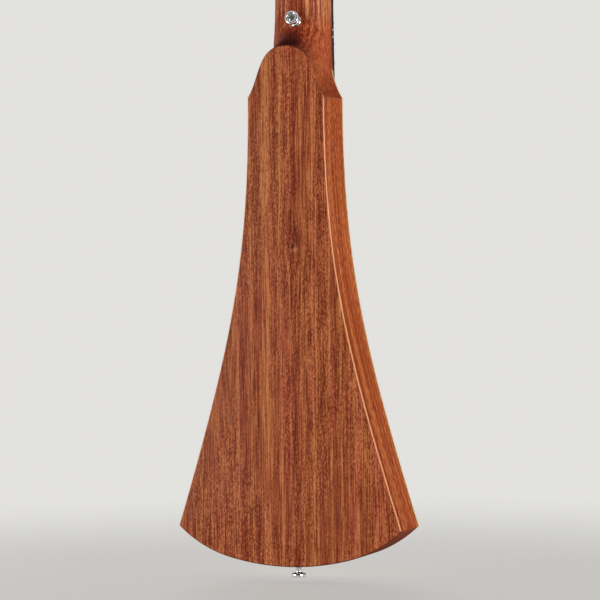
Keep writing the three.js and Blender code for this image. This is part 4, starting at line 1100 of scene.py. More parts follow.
def turned(profile, sides=48):
    """A turned piece about Y, from (radius, height) pairs. A radius of zero closes it on the axis."""
    angles = [2 * math.pi * side / sides for side in range(sides)]
    rings = []
    for radius, height in profile:
        rings.append([(radius * math.cos(angle), height, radius * math.sin(angle)) for angle in angles])
    closed = profile[0] == profile[-1]
    shape = loft(rings[:-1] if closed else rings, closed)
    bmesh.ops.remove_doubles(shape, verts=shape.verts, dist=merge_reach)
    return shape


def rod(radius, low_y, high_y, sides=32):
    return turned([(0, low_y), (radius, low_y), (radius, high_y), (0, high_y)], sides)


def moved(shape, matrix):
    bmesh.ops.transform(shape, matrix=matrix, verts=shape.verts)
    return shape


def shift(x, y, z):
    return Matrix.Translation((x, y, z))


def along_x(shape):
    """Lays a shape that was made along Y down along X."""
    return moved(shape, Matrix.Rotation(-math.pi / 2, 4, "Z"))


print("helpers for turned shapes ready")

# %% [markdown]
# Real edges are never quite sharp, and a hole is easiest to make by taking another shape away. Where a
# solid of the frame already has the right form, it is copied and its edges are softened.

# %% Helpers for edges and cuts
round_profile = 0.5


def round_edges(shape, width, chosen=lambda edge: True, segments=3, sharper_than=math.radians(30)):
    """Rounds the sharp edges that a test picks."""
    shape.normal_update()
    sharp = [
        edge for edge in shape.edges
        if len(edge.link_faces) == 2 and edge.calc_face_angle(0) > sharper_than and chosen(edge)
    ]
    bmesh.ops.bevel(
        shape, geom=sharp, offset=width, segments=segments, profile=round_profile, affect="EDGES",
        clamp_overlap=True,
    )
    return shape


def combine(base, others, operation="DIFFERENCE"):
    """Cuts other shapes out of a shape, or joins them to it, one after another."""
    objects = []
    for shape in (base, *others):
        bmesh.ops.recalc_face_normals(shape, faces=shape.faces)
        mesh = bpy.data.meshes.new("tool")
        shape.to_mesh(mesh)
        shape.free()
        made = bpy.data.objects.new("tool", mesh)
        bpy.context.scene.collection.objects.link(made)
        objects.append(made)
    for tool in objects[1:]:
        step = objects[0].modifiers.new("combine", "BOOLEAN")
        step.operation = operation
        step.solver = "EXACT"
        step.object = tool
    depsgraph = bpy.context.evaluated_depsgraph_get()
    result = bmesh.new()
    result.from_mesh(objects[0].evaluated_get(depsgraph).to_mesh())
    for made in objects:
        mesh = made.data
        bpy.data.objects.remove(made)
        bpy.data.meshes.remove(mesh)
    return result


def from_solid(name, flat_within=math.radians(1)):
    """A copy of a solid of the frame, with its split corners joined and its flat triangles merged."""
    shape = bmesh.new()
    shape.from_mesh(frame["nodes"][name].data)
    bmesh.ops.remove_doubles(shape, verts=shape.verts, dist=merge_reach)
    bmesh.ops.dissolve_limit(shape, angle_limit=flat_within, verts=shape.verts, edges=shape.edges)
    return shape


print("helpers for edges and cuts ready")

# %% [markdown]
# The last helper puts a finished mesh into the scene as a piece. The mesh takes its finish, rides on its
# body and stands for the plain solid.

# %% Helper for pieces
smooth_below = math.radians(34)


def mesh_of(shape):
    """Ends a bmesh: even normals, smooth shading and sharp edges where the surface turns sharply."""
    bmesh.ops.recalc_face_normals(shape, faces=shape.faces)
    mesh = bpy.data.meshes.new("shape")
    shape.to_mesh(mesh)
    shape.free()
    for face in mesh.polygons:
        face.use_smooth = True
    mesh.set_sharp_from_angle(angle=smooth_below)
    return mesh


def piece(name, shape, slot, body="guitar", stands_for=()):
    """Puts a shape into the scene as a finished piece of the guitar."""
    mesh = mesh_of(shape)
    mesh.name = name
    mesh.materials.append(finishes[slot])
    made = bpy.data.objects.new(name, mesh)
    bpy.context.scene.collection.objects.link(made)
    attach(made, body)
    if stands_for:
        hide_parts(*stands_for)
    return made


print("helper for pieces ready")

# %% [markdown]
# The outline of the body is one curve and its mirror image. From the shoulder it drops almost straight,
# then sweeps out to the corner of the tail, as a Bezier curve with its handles along those two
# directions. Its widths and heights come from the frame. A list of measured points would do as well, but
# a few handles keep the curve smooth and are easy to set.

# %% Outline of the sides
seat_gap = 0.3 * mm
glue_line = 0.1 * mm
shoulder_half = 35.1 * mm
tail_sagitta = 33.7 * mm
side_end_angle = math.radians(17.5)
side_lead_shares = (0.377, 0.449)
side_steps = 64

back_low, back_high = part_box("back_plate")
board_low, board_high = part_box("soundboard")
side_low, side_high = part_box("side_bass")
corner_half = back_high.x
tail_z = back_low.z
back_y = back_low.y
shoulder_z = side_high.z + seat_gap
corner_z = tail_z + tail_sagitta
side_drop = shoulder_z - corner_z

side_handles = (
    (shoulder_half, shoulder_z),
    (shoulder_half, shoulder_z - side_lead_shares[0] * side_drop),
    (
        corner_half - side_lead_shares[1] * side_drop * math.sin(side_end_angle),
        corner_z + side_lead_shares[1] * side_drop * math.cos(side_end_angle),
    ),
    (corner_half, corner_z),
)


def side_point(share, inset=0.0):
    """A place (x, z) on the bass side, moved inwards by an inset."""
    rest = 1 - share
    weights = (rest ** 3, 3 * rest ** 2 * share, 3 * rest * share ** 2, share ** 3)
    x, z = (sum(weight * handle[axis] for weight, handle in zip(weights, side_handles)) for axis in (0, 1))
    leads = [
        [3 * (later[axis] - earlier[axis]) for axis in (0, 1)]
        for earlier, later in zip(side_handles, side_handles[1:])
    ]
    lead_weights = (rest ** 2, 2 * rest * share, share ** 2)
    dx, dz = (sum(weight * lead[axis] for weight, lead in zip(lead_weights, leads)) for axis in (0, 1))
    length = math.hypot(dx, dz)
    return x + dz / length * inset, z - dx / length * inset


print("side drops", round(side_drop / mm, 1), "mm")

# %% [markdown]
# The tail is a flat arc in the middle and a tighter one to each corner. Both arcs have the same direction
# where they meet, so no kink shows, and the tighter one is set so that it ends in the corner.

# %% Outline of the tail
tail_middle_radius = 215 * mm
tail_bend_half = 55 * mm
tail_steps = 48
tail_middle_z = tail_z + tail_middle_radius
tail_bend_angle = math.asin(tail_bend_half / tail_middle_radius)
bend_down = Vector((math.sin(tail_bend_angle), -math.cos(tail_bend_angle)))
corner_away = Vector((corner_half, corner_z - tail_middle_z))
tail_bend_shift = (corner_away.length_squared - tail_middle_radius ** 2) / (
    2 * (corner_away.dot(bend_down) - tail_middle_radius)
)


def tail_circle(angle):
    """Centre and radius of the tail's arc that faces an angle from straight down."""
    if angle <= tail_bend_angle:
        return 0.0, tail_middle_z, tail_middle_radius
    x = tail_bend_shift * bend_down.x
    z = tail_middle_z + tail_bend_shift * bend_down.y
    return x, z, tail_middle_radius - tail_bend_shift


def tail_arc(half_width, inset=0.0):
    """The bass half of the tail, from a width beyond the bend to the middle line."""
    x, z, radius = tail_circle(math.pi / 2)
    start = math.asin((half_width - x) / (radius - inset))
    points = []
    for step in range(tail_steps + 1):
        angle = start * (1 - step / tail_steps)
        x, z, radius = tail_circle(angle)
        points.append((x + (radius - inset) * math.sin(angle), z - (radius - inset) * math.cos(angle)))
    return points


def tail_height(x):
    """Height of the tail at a distance from the middle line."""
    middle_x, middle_z, radius = tail_circle(0 if x <= tail_bend_half else math.pi / 2)
    return middle_z - math.sqrt(radius ** 2 - (x - middle_x) ** 2)


def with_mirror(half):
    """Closes a half outline that ends on the middle line with its mirror image."""
    other = [(-x, z) for x, z in reversed(half) if x > merge_reach]
    return half + other


def body_half():
    side = [side_point(step / side_steps) for step in range(side_steps + 1)]
    return side + tail_arc(corner_half)[1:]


print("body:", round(2 * corner_half / mm, 1), "mm wide,", round((shoulder_z - tail_z) / mm, 1), "mm long")

# %% [markdown]
# The neck gets its widths from the fingerboard and flares out into the shoulders. The back plate ends in
# a round nose that lies on the heel, so its widths are worked out here too.

# %% Widths of the neck
scale_length = 609.6 * mm
frets_to_octave = 12
nut_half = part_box("nut")[1].x
last_fret_half = 25.8 * mm
nose_length = 44.9 * mm
nose_start_share = 0.267
nose_power = 2.3
nose_steps = 28
flare_steps = 8
flare_length = 34 * mm
flare_power = 2.2
nose_tip_z = shoulder_z + nose_length


def clamp(value, low=0.0, high=1.0):
    return min(max(value, low), high)


def even_steps(start, end, count):
    return [start + (end - start) * step / count for step in range(count)]


def fret_z(fret):
    return -scale_length * (1 - 2 ** (-fret / frets_to_octave))


def neck_half(z):
    return nut_half + (last_fret_half - nut_half) * max(-z, 0) / -shoulder_z


def front_half(z):
    share = clamp(1 - (z - shoulder_z) / flare_length)
    return neck_half(z) + (shoulder_half - neck_half(z)) * share ** flare_power


def back_half(z):
    start = nose_start_share * nose_length
    share = clamp((z - shoulder_z - start) / (nose_length - start))
    return front_half(z) * (1 - share ** nose_power) ** (1 / nose_power)


def nose_places():
    """Heights from the tip of the back plate down to the shoulder, close together where the tip is round."""
    start = nose_start_share * nose_length
    shares = [math.cos(math.pi / 2 * step / nose_steps) ** (2 / nose_power) for step in range(nose_steps + 1)]
    round_part = [shoulder_z + start + (nose_length - start) * share for share in shares]
    return round_part + [shoulder_z + start * (1 - step / flare_steps) for step in range(1, flare_steps + 1)]


print("neck:", round(2 * nut_half / mm, 1), "mm wide at the nut")

# %% [markdown]
# The back of the neck is rounded. On the middle line it deepens in a quarter ellipse into the heel, and
# beside that line the heel rises in arches that keep the proportions of the nose of the back plate, so
# the cheeks run smoothly from the neck into the walls of the heel.

# %% Depths of the neck
heel_curve_length = 34 * mm
neck_depth_at_nut = 16.5 * mm
neck_depth_at_heel = 22.5 * mm
neck_power = 2.7
heel_power = 4
head_power = 8
head_blend_length = 26 * mm
halvings = 24
heel_start_z = nose_tip_z + heel_curve_length
heel_depth = -back_high.y - glue_line


def heel_rise(z):
    """How far the heel has risen at a height on the middle line, from 0 to 1."""
    share = clamp((heel_start_z - z) / heel_curve_length)
    return 1 - math.sqrt(1 - share ** 2)


def plain_neck_depth(z):
    return neck_depth_at_nut + (neck_depth_at_heel - neck_depth_at_nut) * clamp(z / heel_start_z)


def neck_depth(z):
    plain = plain_neck_depth(z)
    return plain + (heel_depth - plain) * heel_rise(z)


def neck_roundness(z):
    """Power of the neck's rounded back: squarer into the head, and a little fuller towards the heel."""
    head_share = clamp(1 + z / head_blend_length)
    heel_share = clamp((heel_start_z - z) / heel_curve_length)
    into_head = (head_power - neck_power) * head_share ** 2
    into_heel = (heel_power - neck_power) * heel_share ** 2
    return neck_power + into_head + into_heel


def depth_beside(x, z):
    """Depth of the neck beside its middle line."""
    share = min(x / front_half(z), 1)
    power = neck_roundness(z)
    rounded = plain_neck_depth(z) * (1 - share ** power) ** (1 / power)
    arch_share = (1 - share ** nose_power) ** (1 / nose_power)
    start = shoulder_z + nose_start_share * nose_length
    arch_z = start + (z - start) / max(arch_share, sys.float_info.epsilon) if z > start else z
    return rounded + (heel_depth - rounded) * heel_rise(arch_z)


def half_width_at_depth(depth, z):
    """Half width of the neck at a depth, found by halving."""
    low, high = 0, front_half(z)
    for step in range(halvings):
        middle = (low + high) / 2
        if depth_beside(middle, z) >= depth:
            low = middle
        else:
            high = middle
    return low


print("heel starts at", round(heel_start_z / mm, 1), "mm, nose tip at", round(nose_tip_z / mm, 1), "mm")

# %% [markdown]
# The back is a flat board. Its outer edge is rounded over, and that rounding, with the painted highlight
# in the finish of the back, is what draws the bright line down the corner of the body. The rounding is real
# geometry, as rows of the outline that step inwards along a quarter circle. The soundboard gets the same with
# a smaller radius. A bevel could round it too, but rows of our own stay even all the way round an outline of
# so many points.

# %% Back plate
back_edge_radius = 1.8 * mm
edge_steps = 5


def back_outline():
    nose = [(back_half(z), z) for z in nose_places()[:-1]]
    return with_mirror([(0, nose_tip_z)] + nose[1:] + body_half())


def inset_outline(outline, inset):
    """A closed outline moved inwards, square to its sides."""
    points = [Vector(point) for point in outline]
    made = []
    for index, point in enumerate(points):
        before = (points[index - 1] - point).normalized()
        after = (points[(index + 1) % len(points)] - point).normalized()
        inwards = Vector((before.y - after.y, after.x - before.x)).normalized()
        lean = abs(inwards.x * after.y - inwards.y * after.x)
        made.append(tuple(point - inwards * inset / lean))
    return made


def rounded_board(outline, plain_y, rounded_y, radius):
    """A board from one y to another whose edge is rounded over at the second one."""
    towards = math.copysign(1, plain_y - rounded_y)
    rings = [(0, plain_y)]
    for step in range(edge_steps + 1):
        angle = math.pi / 2 * step / edge_steps
        rings.append((radius * (1 - math.cos(angle)), rounded_y + towards * radius * (1 - math.sin(angle))))
    return loft([[(x, y, z) for x, z in inset_outline(outline, inset)] for inset, y in rings])


back = rounded_board(back_outline(), back_high.y, back_y, back_edge_radius)
piece("back_board", back, "back_wood", stands_for=("back_plate",))
print("back plate made")

# %% [markdown]
# The soundboard is thinner and pale. Beyond the body it narrows into a tongue along the neck, where its
# edge shows as the thin light line beside the heel. It has the round soundhole, with a softened rim, and
# a hole for each pin. The holes are cut with rods that reach past both faces, much as a drill would make
# them.

# %% Soundboard
string_count = 6
nut_string_span = 36.4 * mm
saddle_string_span = 54 * mm
pin_setback = 16 * mm
pin_hole_radius = 2.6 * mm
sound_hole_radius = 25.4 * mm
sound_hole_z = shoulder_z - 95 * mm
board_edge_radius = 0.7 * mm
rim_arris = 0.5 * mm
rim_tolerance = 0.01 * mm
overrun = 3 * mm
saddle_z = -scale_length
pin_z = saddle_z - pin_setback
numbers = range(1, string_count + 1)


def string_x(number, z):
    share = (number - 1) / (string_count - 1) - 0.5
    return share * (nut_string_span + (saddle_string_span - nut_string_span) * z / saddle_z)


def board_outline():
    tongue_steps = 24
    tongue = even_steps(board_high.z, shoulder_z, tongue_steps)
    return with_mirror([(front_half(z), z) for z in tongue] + body_half())


def hole_through(radius, x, z, low_y, high_y, sides=32):
    return moved(rod(radius, low_y - overrun, high_y + overrun, sides), shift(x, 0, z))


board = rounded_board(board_outline(), board_low.y, 0, board_edge_radius)
holes = [hole_through(sound_hole_radius, 0, sound_hole_z, board_low.y, 0, sides=96)]
for number in numbers:
    holes.append(hole_through(pin_hole_radius, string_x(number, pin_z), pin_z, board_low.y, 0, sides=24))
board = combine(board, holes)


def on_rim(edge):
    reaches = [math.hypot(corner.co.x, corner.co.z - sound_hole_z) for corner in edge.verts]
    return all(abs(reach - sound_hole_radius) < rim_tolerance for reach in reaches)


round_edges(board, rim_arris, on_rim)
piece("top_board", board, "spruce", stands_for=("soundboard",))
print("soundboard made with", len(holes), "holes")

# %% [markdown]
# Round the soundhole lies a simple inlay of three rings, the outer and inner ones black and the middle
# one pale. They are let into the wood and stand a hair proud, so each is a thin ring of its own. A mask
# in the finish could draw them, but then they would have the gloss of the spruce.

# %% Rings round the soundhole
ring_proud = 0.06 * mm
ring_depth = 0.4 * mm
# Inner and outer radius of each ring, and its finish
hole_rings = {
    "outer": (33.4 * mm, 34.2 * mm, "black_composite"),
    "middle": (30.8 * mm, 33.4 * mm, "bone"),
    "inner": (30.0 * mm, 30.8 * mm, "black_composite"),
}
for ring_name, (inner, outer, slot) in hole_rings.items():
    profile = [(inner, -ring_depth), (outer, -ring_depth), (outer, ring_proud), (inner, ring_proud)]
    ring = turned([*profile, profile[0]], sides=128)
    piece(f"hole_ring_{ring_name}", moved(ring, shift(0, 0, sound_hole_z)), slot)
print("rings made:", len(hole_rings))

# %% [markdown]
# The sides are thin strips bent to the outline, and the tail is a thicker rib. Each is a loft of its small
# rectangular section along the curve, so the strip keeps its thickness all the way.

# %% Sides and tail rib
side_thickness = 2.3 * mm
tail_rib_thickness = 4.5 * mm


def side_rings():
    """Sections of the bass side from the shoulder to the tail. Its ends follow the neck and the tail rib."""
    rings = []
    for step in range(side_steps + 1):
        outer, inner = side_point(step / side_steps), side_point(step / side_steps, side_thickness)
        rings.append(strip_ring(outer, inner, side_low.y, side_high.y))
    rings[0] = [(x, y, side_high.z) for x, y, z in rings[0]]
    rings[-1] = [(x, y, tail_height(x)) for x, y, z in rings[-1]]
    return rings


for side_name, mirror in (("bass", 1), ("treble", -1)):
    strip = [[(mirror * x, y, z) for x, y, z in ring] for ring in side_rings()]
    piece(f"side_strip_{side_name}", loft(strip), "side_wood", stands_for=(f"side_{side_name}",))

rib_low, rib_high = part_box("tail_rib")
outer_arc = with_mirror(tail_arc(rib_high.x))
inner_arc = with_mirror(tail_arc(rib_high.x, tail_rib_thickness))
rib = [strip_ring(outer, inner, rib_low.y, rib_high.y) for outer, inner in zip(outer_arc, inner_arc)]
piece("tail_strip", loft(rib), "side_wood", stands_for=("tail_rib",))
print("sides and tail rib made")

# %% [markdown]
# Neck, heel and headstock are one piece of wood. It is made as the maker makes it: a long lofted stick, a
# tilted slab for the head and a block inside the body are joined, and then the flat for the fingerboard,
# the seat of the soundboard, the holes for the posts and the round seat for the strap button are cut.

# %% Shape of the neck and of the head
head_tilt = math.radians(12)
head_thickness = 14 * mm
head_length = 110 * mm
head_ear_half = 31 * mm
head_ear_place = 21 * mm
head_top_half = 27 * mm
head_corner_radius = 7 * mm
head_crown = 3 * mm
spine_half = 1.5 * mm
wall_share = 0.995
nut_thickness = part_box("nut")[1].z
head_matrix = Matrix.Translation((0, 0, nut_thickness)) @ Matrix.Rotation(head_tilt, 4, "X")


def neck_section(z, steps=18):
    """One section of the neck, from the bass edge round the back to the treble edge."""
    half = []
    for step in range(steps + 1):
        depth = neck_depth(z) * math.sin(math.pi / 2 * step / steps) ** (2 / neck_roundness(z))
        widest = front_half(z) * (1 - (1 - wall_share) * (depth / heel_depth) ** 2)
        half.append((max(min(half_width_at_depth(depth, z), widest), spine_half), -depth, z))
    return half + [(-x, y, z) for x, y, z in reversed(half)]


def neck_places():
    """Heights of the sections, from the head down to the shoulder, close together where the neck curves."""
    back_depth = head_thickness / math.cos(head_tilt)
    meeting = nut_thickness + (neck_depth_at_nut - back_depth) / math.tan(head_tilt)
    head_steps, stick_steps, curve_steps = 12, 24, 26
    places = [max(meeting, nut_thickness)]
    places += even_steps(0, -head_blend_length, head_steps)
    places += even_steps(-head_blend_length, heel_start_z, stick_steps)
    turns = even_steps(0, math.pi / 2, curve_steps)
    return places + [heel_start_z - heel_curve_length * math.sin(turn) for turn in turns] + nose_places()


def bezier(points, steps):
    """Places on a Bezier curve with any number of handles, without its last one."""
    made = []
    for step in range(steps):
        level = [Vector(point) for point in points]
        while len(level) > 1:
            level = [first.lerp(second, step / steps) for first, second in zip(level, level[1:])]
        made.append(tuple(level[0]))
    return made


def head_outline():
    bend = head_ear_place / 2
    corner = head_length - head_corner_radius
    inner = head_top_half - head_corner_radius
    peak = head_length + 2 * head_crown
    ear_steps, corner_steps, crown_steps = 14, 8, 12
    ear = (head_ear_half, head_ear_place)
    half = bezier([(nut_half, 0), (nut_half, bend), (head_ear_half, bend), ear], ear_steps) + [ear]
    head_corner = [(head_top_half, corner), (head_top_half, head_length), (inner, head_length)]
    half += bezier(head_corner, corner_steps)
    crown = bezier([(inner, head_length), (0, peak), (-inner, head_length)], 2 * crown_steps)
    return with_mirror(half + crown[:crown_steps + 1])


print("neck", len(neck_places()), "sections, head", len(head_outline()), "points")

# %% [markdown]
# Six posts go through the head, three on each side. The strap button on the heel stands square to the curve
# of the heel, and its seat is a shallow round cut. The one at the tail stands at half the depth of the
# body.

# %% Places of the posts and of the strap buttons
post_rows = 3
post_spacing = 29 * mm
first_post_place = 27 * mm
post_inset = 11.5 * mm
post_radius = 3 * mm
heel_button_share = 0.345
heel_button_z = heel_start_z - heel_button_share * heel_curve_length
heel_button_slope = math.atan2(
    (heel_depth - neck_depth_at_heel) * heel_button_share,
    heel_curve_length * math.sqrt(1 - heel_button_share ** 2),
)
heel_button_matrix = shift(0, -neck_depth(heel_button_z), heel_button_z) @ Matrix.Rotation(
    math.pi - heel_button_slope, 4, "X",
)
tail_button_matrix = shift(0, back_y / 2, tail_z) @ Matrix.Rotation(-math.pi / 2, 4, "X")


def post_spot(number):
    """Side and place of a string's post in the plane of the head. Strings 1 to 3 are on the treble side."""
    side = 1 if number > post_rows else -1
    row = 2 * post_rows - number if side > 0 else number - 1
    along = first_post_place + row * post_spacing
    share = (along - head_ear_place) / (head_length - head_ear_place)
    edge = head_ear_half + (head_top_half - head_ear_half) * share
    return side, side * (edge - post_inset), along


print("posts at", [tuple(round(part / mm, 1) for part in post_spot(number)[1:]) for number in numbers], "mm")

# %% [markdown]
# The neck shows no seam in the photograph, so head, stick and heel are joined into one solid before
# anything is cut. Each cutter reaches past the wood by a little, because a cut that ends exactly on a
# surface leaves a ragged skin.

# %% Neck and head as one piece
head_arris = 1.0 * mm
heel_block_length = 32 * mm
button_base_radius = 5.3 * mm
spot_face_depth = 0.5 * mm


def neck_cutters():
    seat_y = board_low.y - glue_line
    rod_low, rod_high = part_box("reinforcing_rod")
    gap = Vector((seat_gap, seat_gap, seat_gap))
    above_head = block((-2 * head_ear_half, 0, -overrun), (2 * head_ear_half, nut_half, head_length))
    board_seat = block(
        (-2 * shoulder_half, seat_y, shoulder_z - heel_block_length - overrun),
        (2 * shoulder_half, overrun, board_high.z + glue_line),
    )
    channel = block(rod_low - gap, (rod_high.x + seat_gap, overrun, rod_high.z + seat_gap))
    spot_face = rod(button_base_radius + seat_gap, -spot_face_depth, 2 * button_base_radius, sides=48)
    cutters = [moved(above_head, head_matrix), board_seat, channel, moved(spot_face, heel_button_matrix)]
    for number in numbers:
        x, along = post_spot(number)[1:]
        hole = rod(post_radius + seat_gap, -head_thickness - overrun, overrun)
        cutters.append(moved(hole, head_matrix @ shift(x, 0, along)))
    return cutters


def make_neck():
    stick = loft([neck_section(z) for z in neck_places()])
    head = slab(head_outline(), -head_thickness, 0)
    round_edges(head, head_arris, lambda edge: all(corner.co.z > head_arris for corner in edge.verts))
    block_half = shoulder_half - side_thickness - seat_gap
    inner_block = block(
        (-block_half, -heel_depth, shoulder_z - heel_block_length),
        (block_half, board_low.y - glue_line, shoulder_z + overrun),
    )
    body = combine(stick, [moved(head, head_matrix), inner_block], "UNION")
    return combine(body, neck_cutters())


piece("neck_and_head", make_neck(), "neck_wood", stands_for=("neck",))
print("neck made, heel button at", round(heel_button_z / mm, 1), "mm")

# %% [markdown]
# The fingerboard is a long wedge of black composite. Each fret is its own wire with a round crown and ends
# filed at a slant. Pale dots mark the usual frets on the face and along the bass edge, with a pair at the
# octave. The pair on the edge is one of the few details of the front that the photograph shows.

# %% Fingerboard, frets and dots
fret_count = 15
board_top_y = 6 * mm
fret_height = 1.0 * mm
fret_half_width = 1.0 * mm
fret_end_slant = 0.6 * mm
fret_end_share = 0.35
fingerboard_arris = 0.4 * mm
marked_frets = (3, 5, 7, 9, 12)
face_dot_radius = 3 * mm
edge_dot_radius = 0.95 * mm
face_pair_reach = 10 * mm
edge_pair_reach = 3.05 * mm
dot_proud = 0.05 * mm
dot_depth = 0.5 * mm


def above_glue(edge):
    return all(corner.co.y > glue_line for corner in edge.verts)


def make_fingerboard():
    ends = (-glue_line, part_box("fingerboard")[0].z)
    corners = [(neck_half(z), z) for z in ends]
    wedge = slab(corners + [(-x, z) for x, z in reversed(corners)], glue_line, board_top_y)
    return round_edges(wedge, fingerboard_arris, above_glue)


def make_fret(fret):
    z, reach = fret_z(fret), neck_half(fret_z(fret))
    arc_steps = 10
    sunk = board_top_y - fret_height / 2
    inner = reach - fret_end_slant
    rings = []
    for x, share in ((-reach, fret_end_share), (-inner, 1), (inner, 1), (reach, fret_end_share)):
        ring = [(x, sunk, z - fret_half_width / 2), (x, sunk, z + fret_half_width / 2)]
        for step in range(arc_steps + 1):
            angle = math.pi * step / arc_steps
            crown = fret_height * share * math.sin(angle)
            ring.append((x, board_top_y + crown, z + fret_half_width * math.cos(angle)))
        rings.append(ring)
    return loft(rings)


def dot(name, radius, matrix):
    piece(name, moved(rod(radius, -dot_depth, dot_proud), matrix), "bone")


piece("fingerboard_wedge", make_fingerboard(), "black_composite", stands_for=("fingerboard",))
for fret in range(1, fret_count + 1):
    piece(f"fret_{fret}", make_fret(fret), "steel")
for fret in marked_frets:
    middle = (fret_z(fret) + fret_z(fret - 1)) / 2
    paired = fret == frets_to_octave
    for index, side in enumerate((-1, 1) if paired else (0,), 1):
        dot(f"face_dot_{fret}_{index}", face_dot_radius, shift(side * face_pair_reach, board_top_y, middle))
        z = middle + side * edge_pair_reach
        outwards = shift(neck_half(z), board_top_y / 2, z) @ Matrix.Rotation(-math.pi / 2, 4, "Z")
        dot(f"edge_dot_{fret}_{index}", edge_dot_radius, outwards)
print("frets:", fret_count, "marked:", marked_frets)

# %% [markdown]
# Nut, saddle and bridge already have their slots and ramps, one for each string. They are taken over from
# the frame: the flat triangles are merged again, and the sharp edges get the small rounding that sandpaper
# leaves.

# %% Nut, saddle and bridge
# Name of each new piece, rounding of its edges, and its finish
taken_over = {
    "nut": ("nut_bar", 0.2 * mm, "bone"),
    "saddle": ("saddle_bar", 0.3 * mm, "bone"),
    "bridge": ("bridge_block", 0.3 * mm, "black_composite"),
}
for node, (name, arris, slot) in taken_over.items():
    piece(name, round_edges(from_solid(node), arris), slot, stands_for=(node,))
print("made:", ", ".join(taken_over))

# %% [markdown]
# A bridge pin is a small turned peg with a domed head, and a flute in its shaft where the string runs. A
# dot of dark composite sits in the middle of each head. Each is turned from a profile, as on a lathe, and
# a block cuts the flute.

# %% Bridge pins
string_radii = [diameter * mm / 2 for diameter in (0.3, 0.41, 0.61, 0.81, 1.07, 1.35)]
bridge_top_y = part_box("bridge")[1].y
pin_shaft_radius = 2.2 * mm
pin_head_radius = 3.6 * mm
pin_head_height = 3.2 * mm
pin_dot_radius = 1.1 * mm
pin_flute_share = 1.26
pin_tip_share = 0.8
pin_collar_height_share = 0.3
pin_collar_foot_share = 0.92


def pin_profile(tip_y):
    seat = bridge_top_y + glue_line
    collar = seat + pin_collar_height_share * pin_head_height
    crown = seat + pin_head_height
    shaft, head = pin_shaft_radius, pin_head_radius
    profile = [(0, tip_y), (pin_tip_share * shaft, tip_y), (shaft, 0), (shaft, seat)]
    profile += [(pin_collar_foot_share * head, seat)]
    profile += bezier([(head, collar), (head, crown), (pin_dot_radius, crown), (0, crown)], steps=10)
    return profile + [(0, crown)]


def string_hole_z(number):
    """A string goes down at the head side of its pin hole."""
    return pin_z + pin_hole_radius - glue_line - string_radii[number - 1]


for number in numbers:
    x, tip_y = string_x(number, pin_z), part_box(f"bridge_pin_{number}")[0].y
    groove = pin_flute_share * string_radii[number - 1] + glue_line
    flute = block(
        (x - groove, tip_y - overrun, string_hole_z(number) - groove),
        (x + groove, bridge_top_y, pin_z + 2 * pin_head_radius),
    )
    peg = combine(moved(turned(pin_profile(tip_y)), shift(x, 0, pin_z)), [flute])
    piece(f"pin_{number}", peg, "bone", stands_for=(f"bridge_pin_{number}",))
    crown_y = bridge_top_y + glue_line + pin_head_height
    spot = rod(pin_dot_radius, -dot_depth, dot_proud, sides=24)
    piece(f"pin_dot_{number}", moved(spot, shift(x, crown_y, pin_z)), "black_composite")
print("pins made:", string_count)

# %% [markdown]
# Each string starts at its ball end under the bridge plate, comes up along its pin, breaks over the
# saddle and the nut, and winds round its post from the bottom turn up to the hole. The route is a list of
# points worked out from these places.

# %% Routes of the strings
saddle_top_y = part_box("saddle")[1].y
nut_slot_y = 7.5 * mm
string_gap = 0.15 * mm
saddle_setbacks = (1.2 * mm, 3.6 * mm)
string_bend_depth = 2.4 * mm
ball_radius = 1.9 * mm
bridge_plate_thickness = 2.5 * mm
post_height = 11.5 * mm
post_waist_radius = 2.7 * mm
post_hole_drop = 3.1 * mm
wind_turns = 2.55
wind_gap = 0.5 * mm
wind_steps = 36


def string_rest(number):
    """Ball end, bend, saddle and nut: the places that a string runs through below its post."""
    radius = string_radii[number - 1]
    hole_z = string_hole_z(number)
    x = string_x(number, pin_z)
    ball_y = board_low.y - bridge_plate_thickness - 2 * glue_line - seat_gap - ball_radius
    share = (number - 1) / (string_count - 1)
    rest_z = saddle_z - saddle_setbacks[0] * (1 - share) - saddle_setbacks[1] * share
    return [
        Vector((x, ball_y, hole_z)),
        Vector((x, bridge_top_y - string_bend_depth, hole_z)),
        Vector((string_x(number, rest_z), saddle_top_y + radius + string_gap, rest_z)),
        Vector((string_x(number, 0), nut_slot_y + radius + string_gap, 0)),
    ]


def string_winds(number):
    """Turns round the post, touched by the straight stretch from the nut."""
    side, x, along = post_spot(number)
    diameter = 2 * string_radii[number - 1]
    radius = post_waist_radius + diameter / 2 + glue_line
    nut = head_matrix.inverted() @ string_rest(number)[-1]
    gap_x, gap_z = side * (nut.x - x), nut.z - along
    start = math.atan2(gap_z, gap_x) - math.acos(radius / math.hypot(gap_x, gap_z))
    climb = (diameter + wind_gap) * wind_turns
    count = round(wind_steps * wind_turns)
    made = []
    for step in range(count + 1):
        share = step / count
        angle = start - 2 * math.pi * wind_turns * share
        height = post_height - post_hole_drop - climb * (1 - share)
        spot = Vector((x + side * radius * math.cos(angle), height, along + radius * math.sin(angle)))
        made.append(head_matrix @ spot)
    return made


print("string 1 runs through", len(string_rest(1) + string_winds(1)), "points")

# %% [markdown]
# A string is a tube along its route, with mitred corners. A curve with a round section would be quicker,
# but it gets thin where a string bends sharply.

# %% Strings and their ball ends
ball_half_length = 1.6 * mm
ball_arris = 0.3 * mm
plain_strings = 2


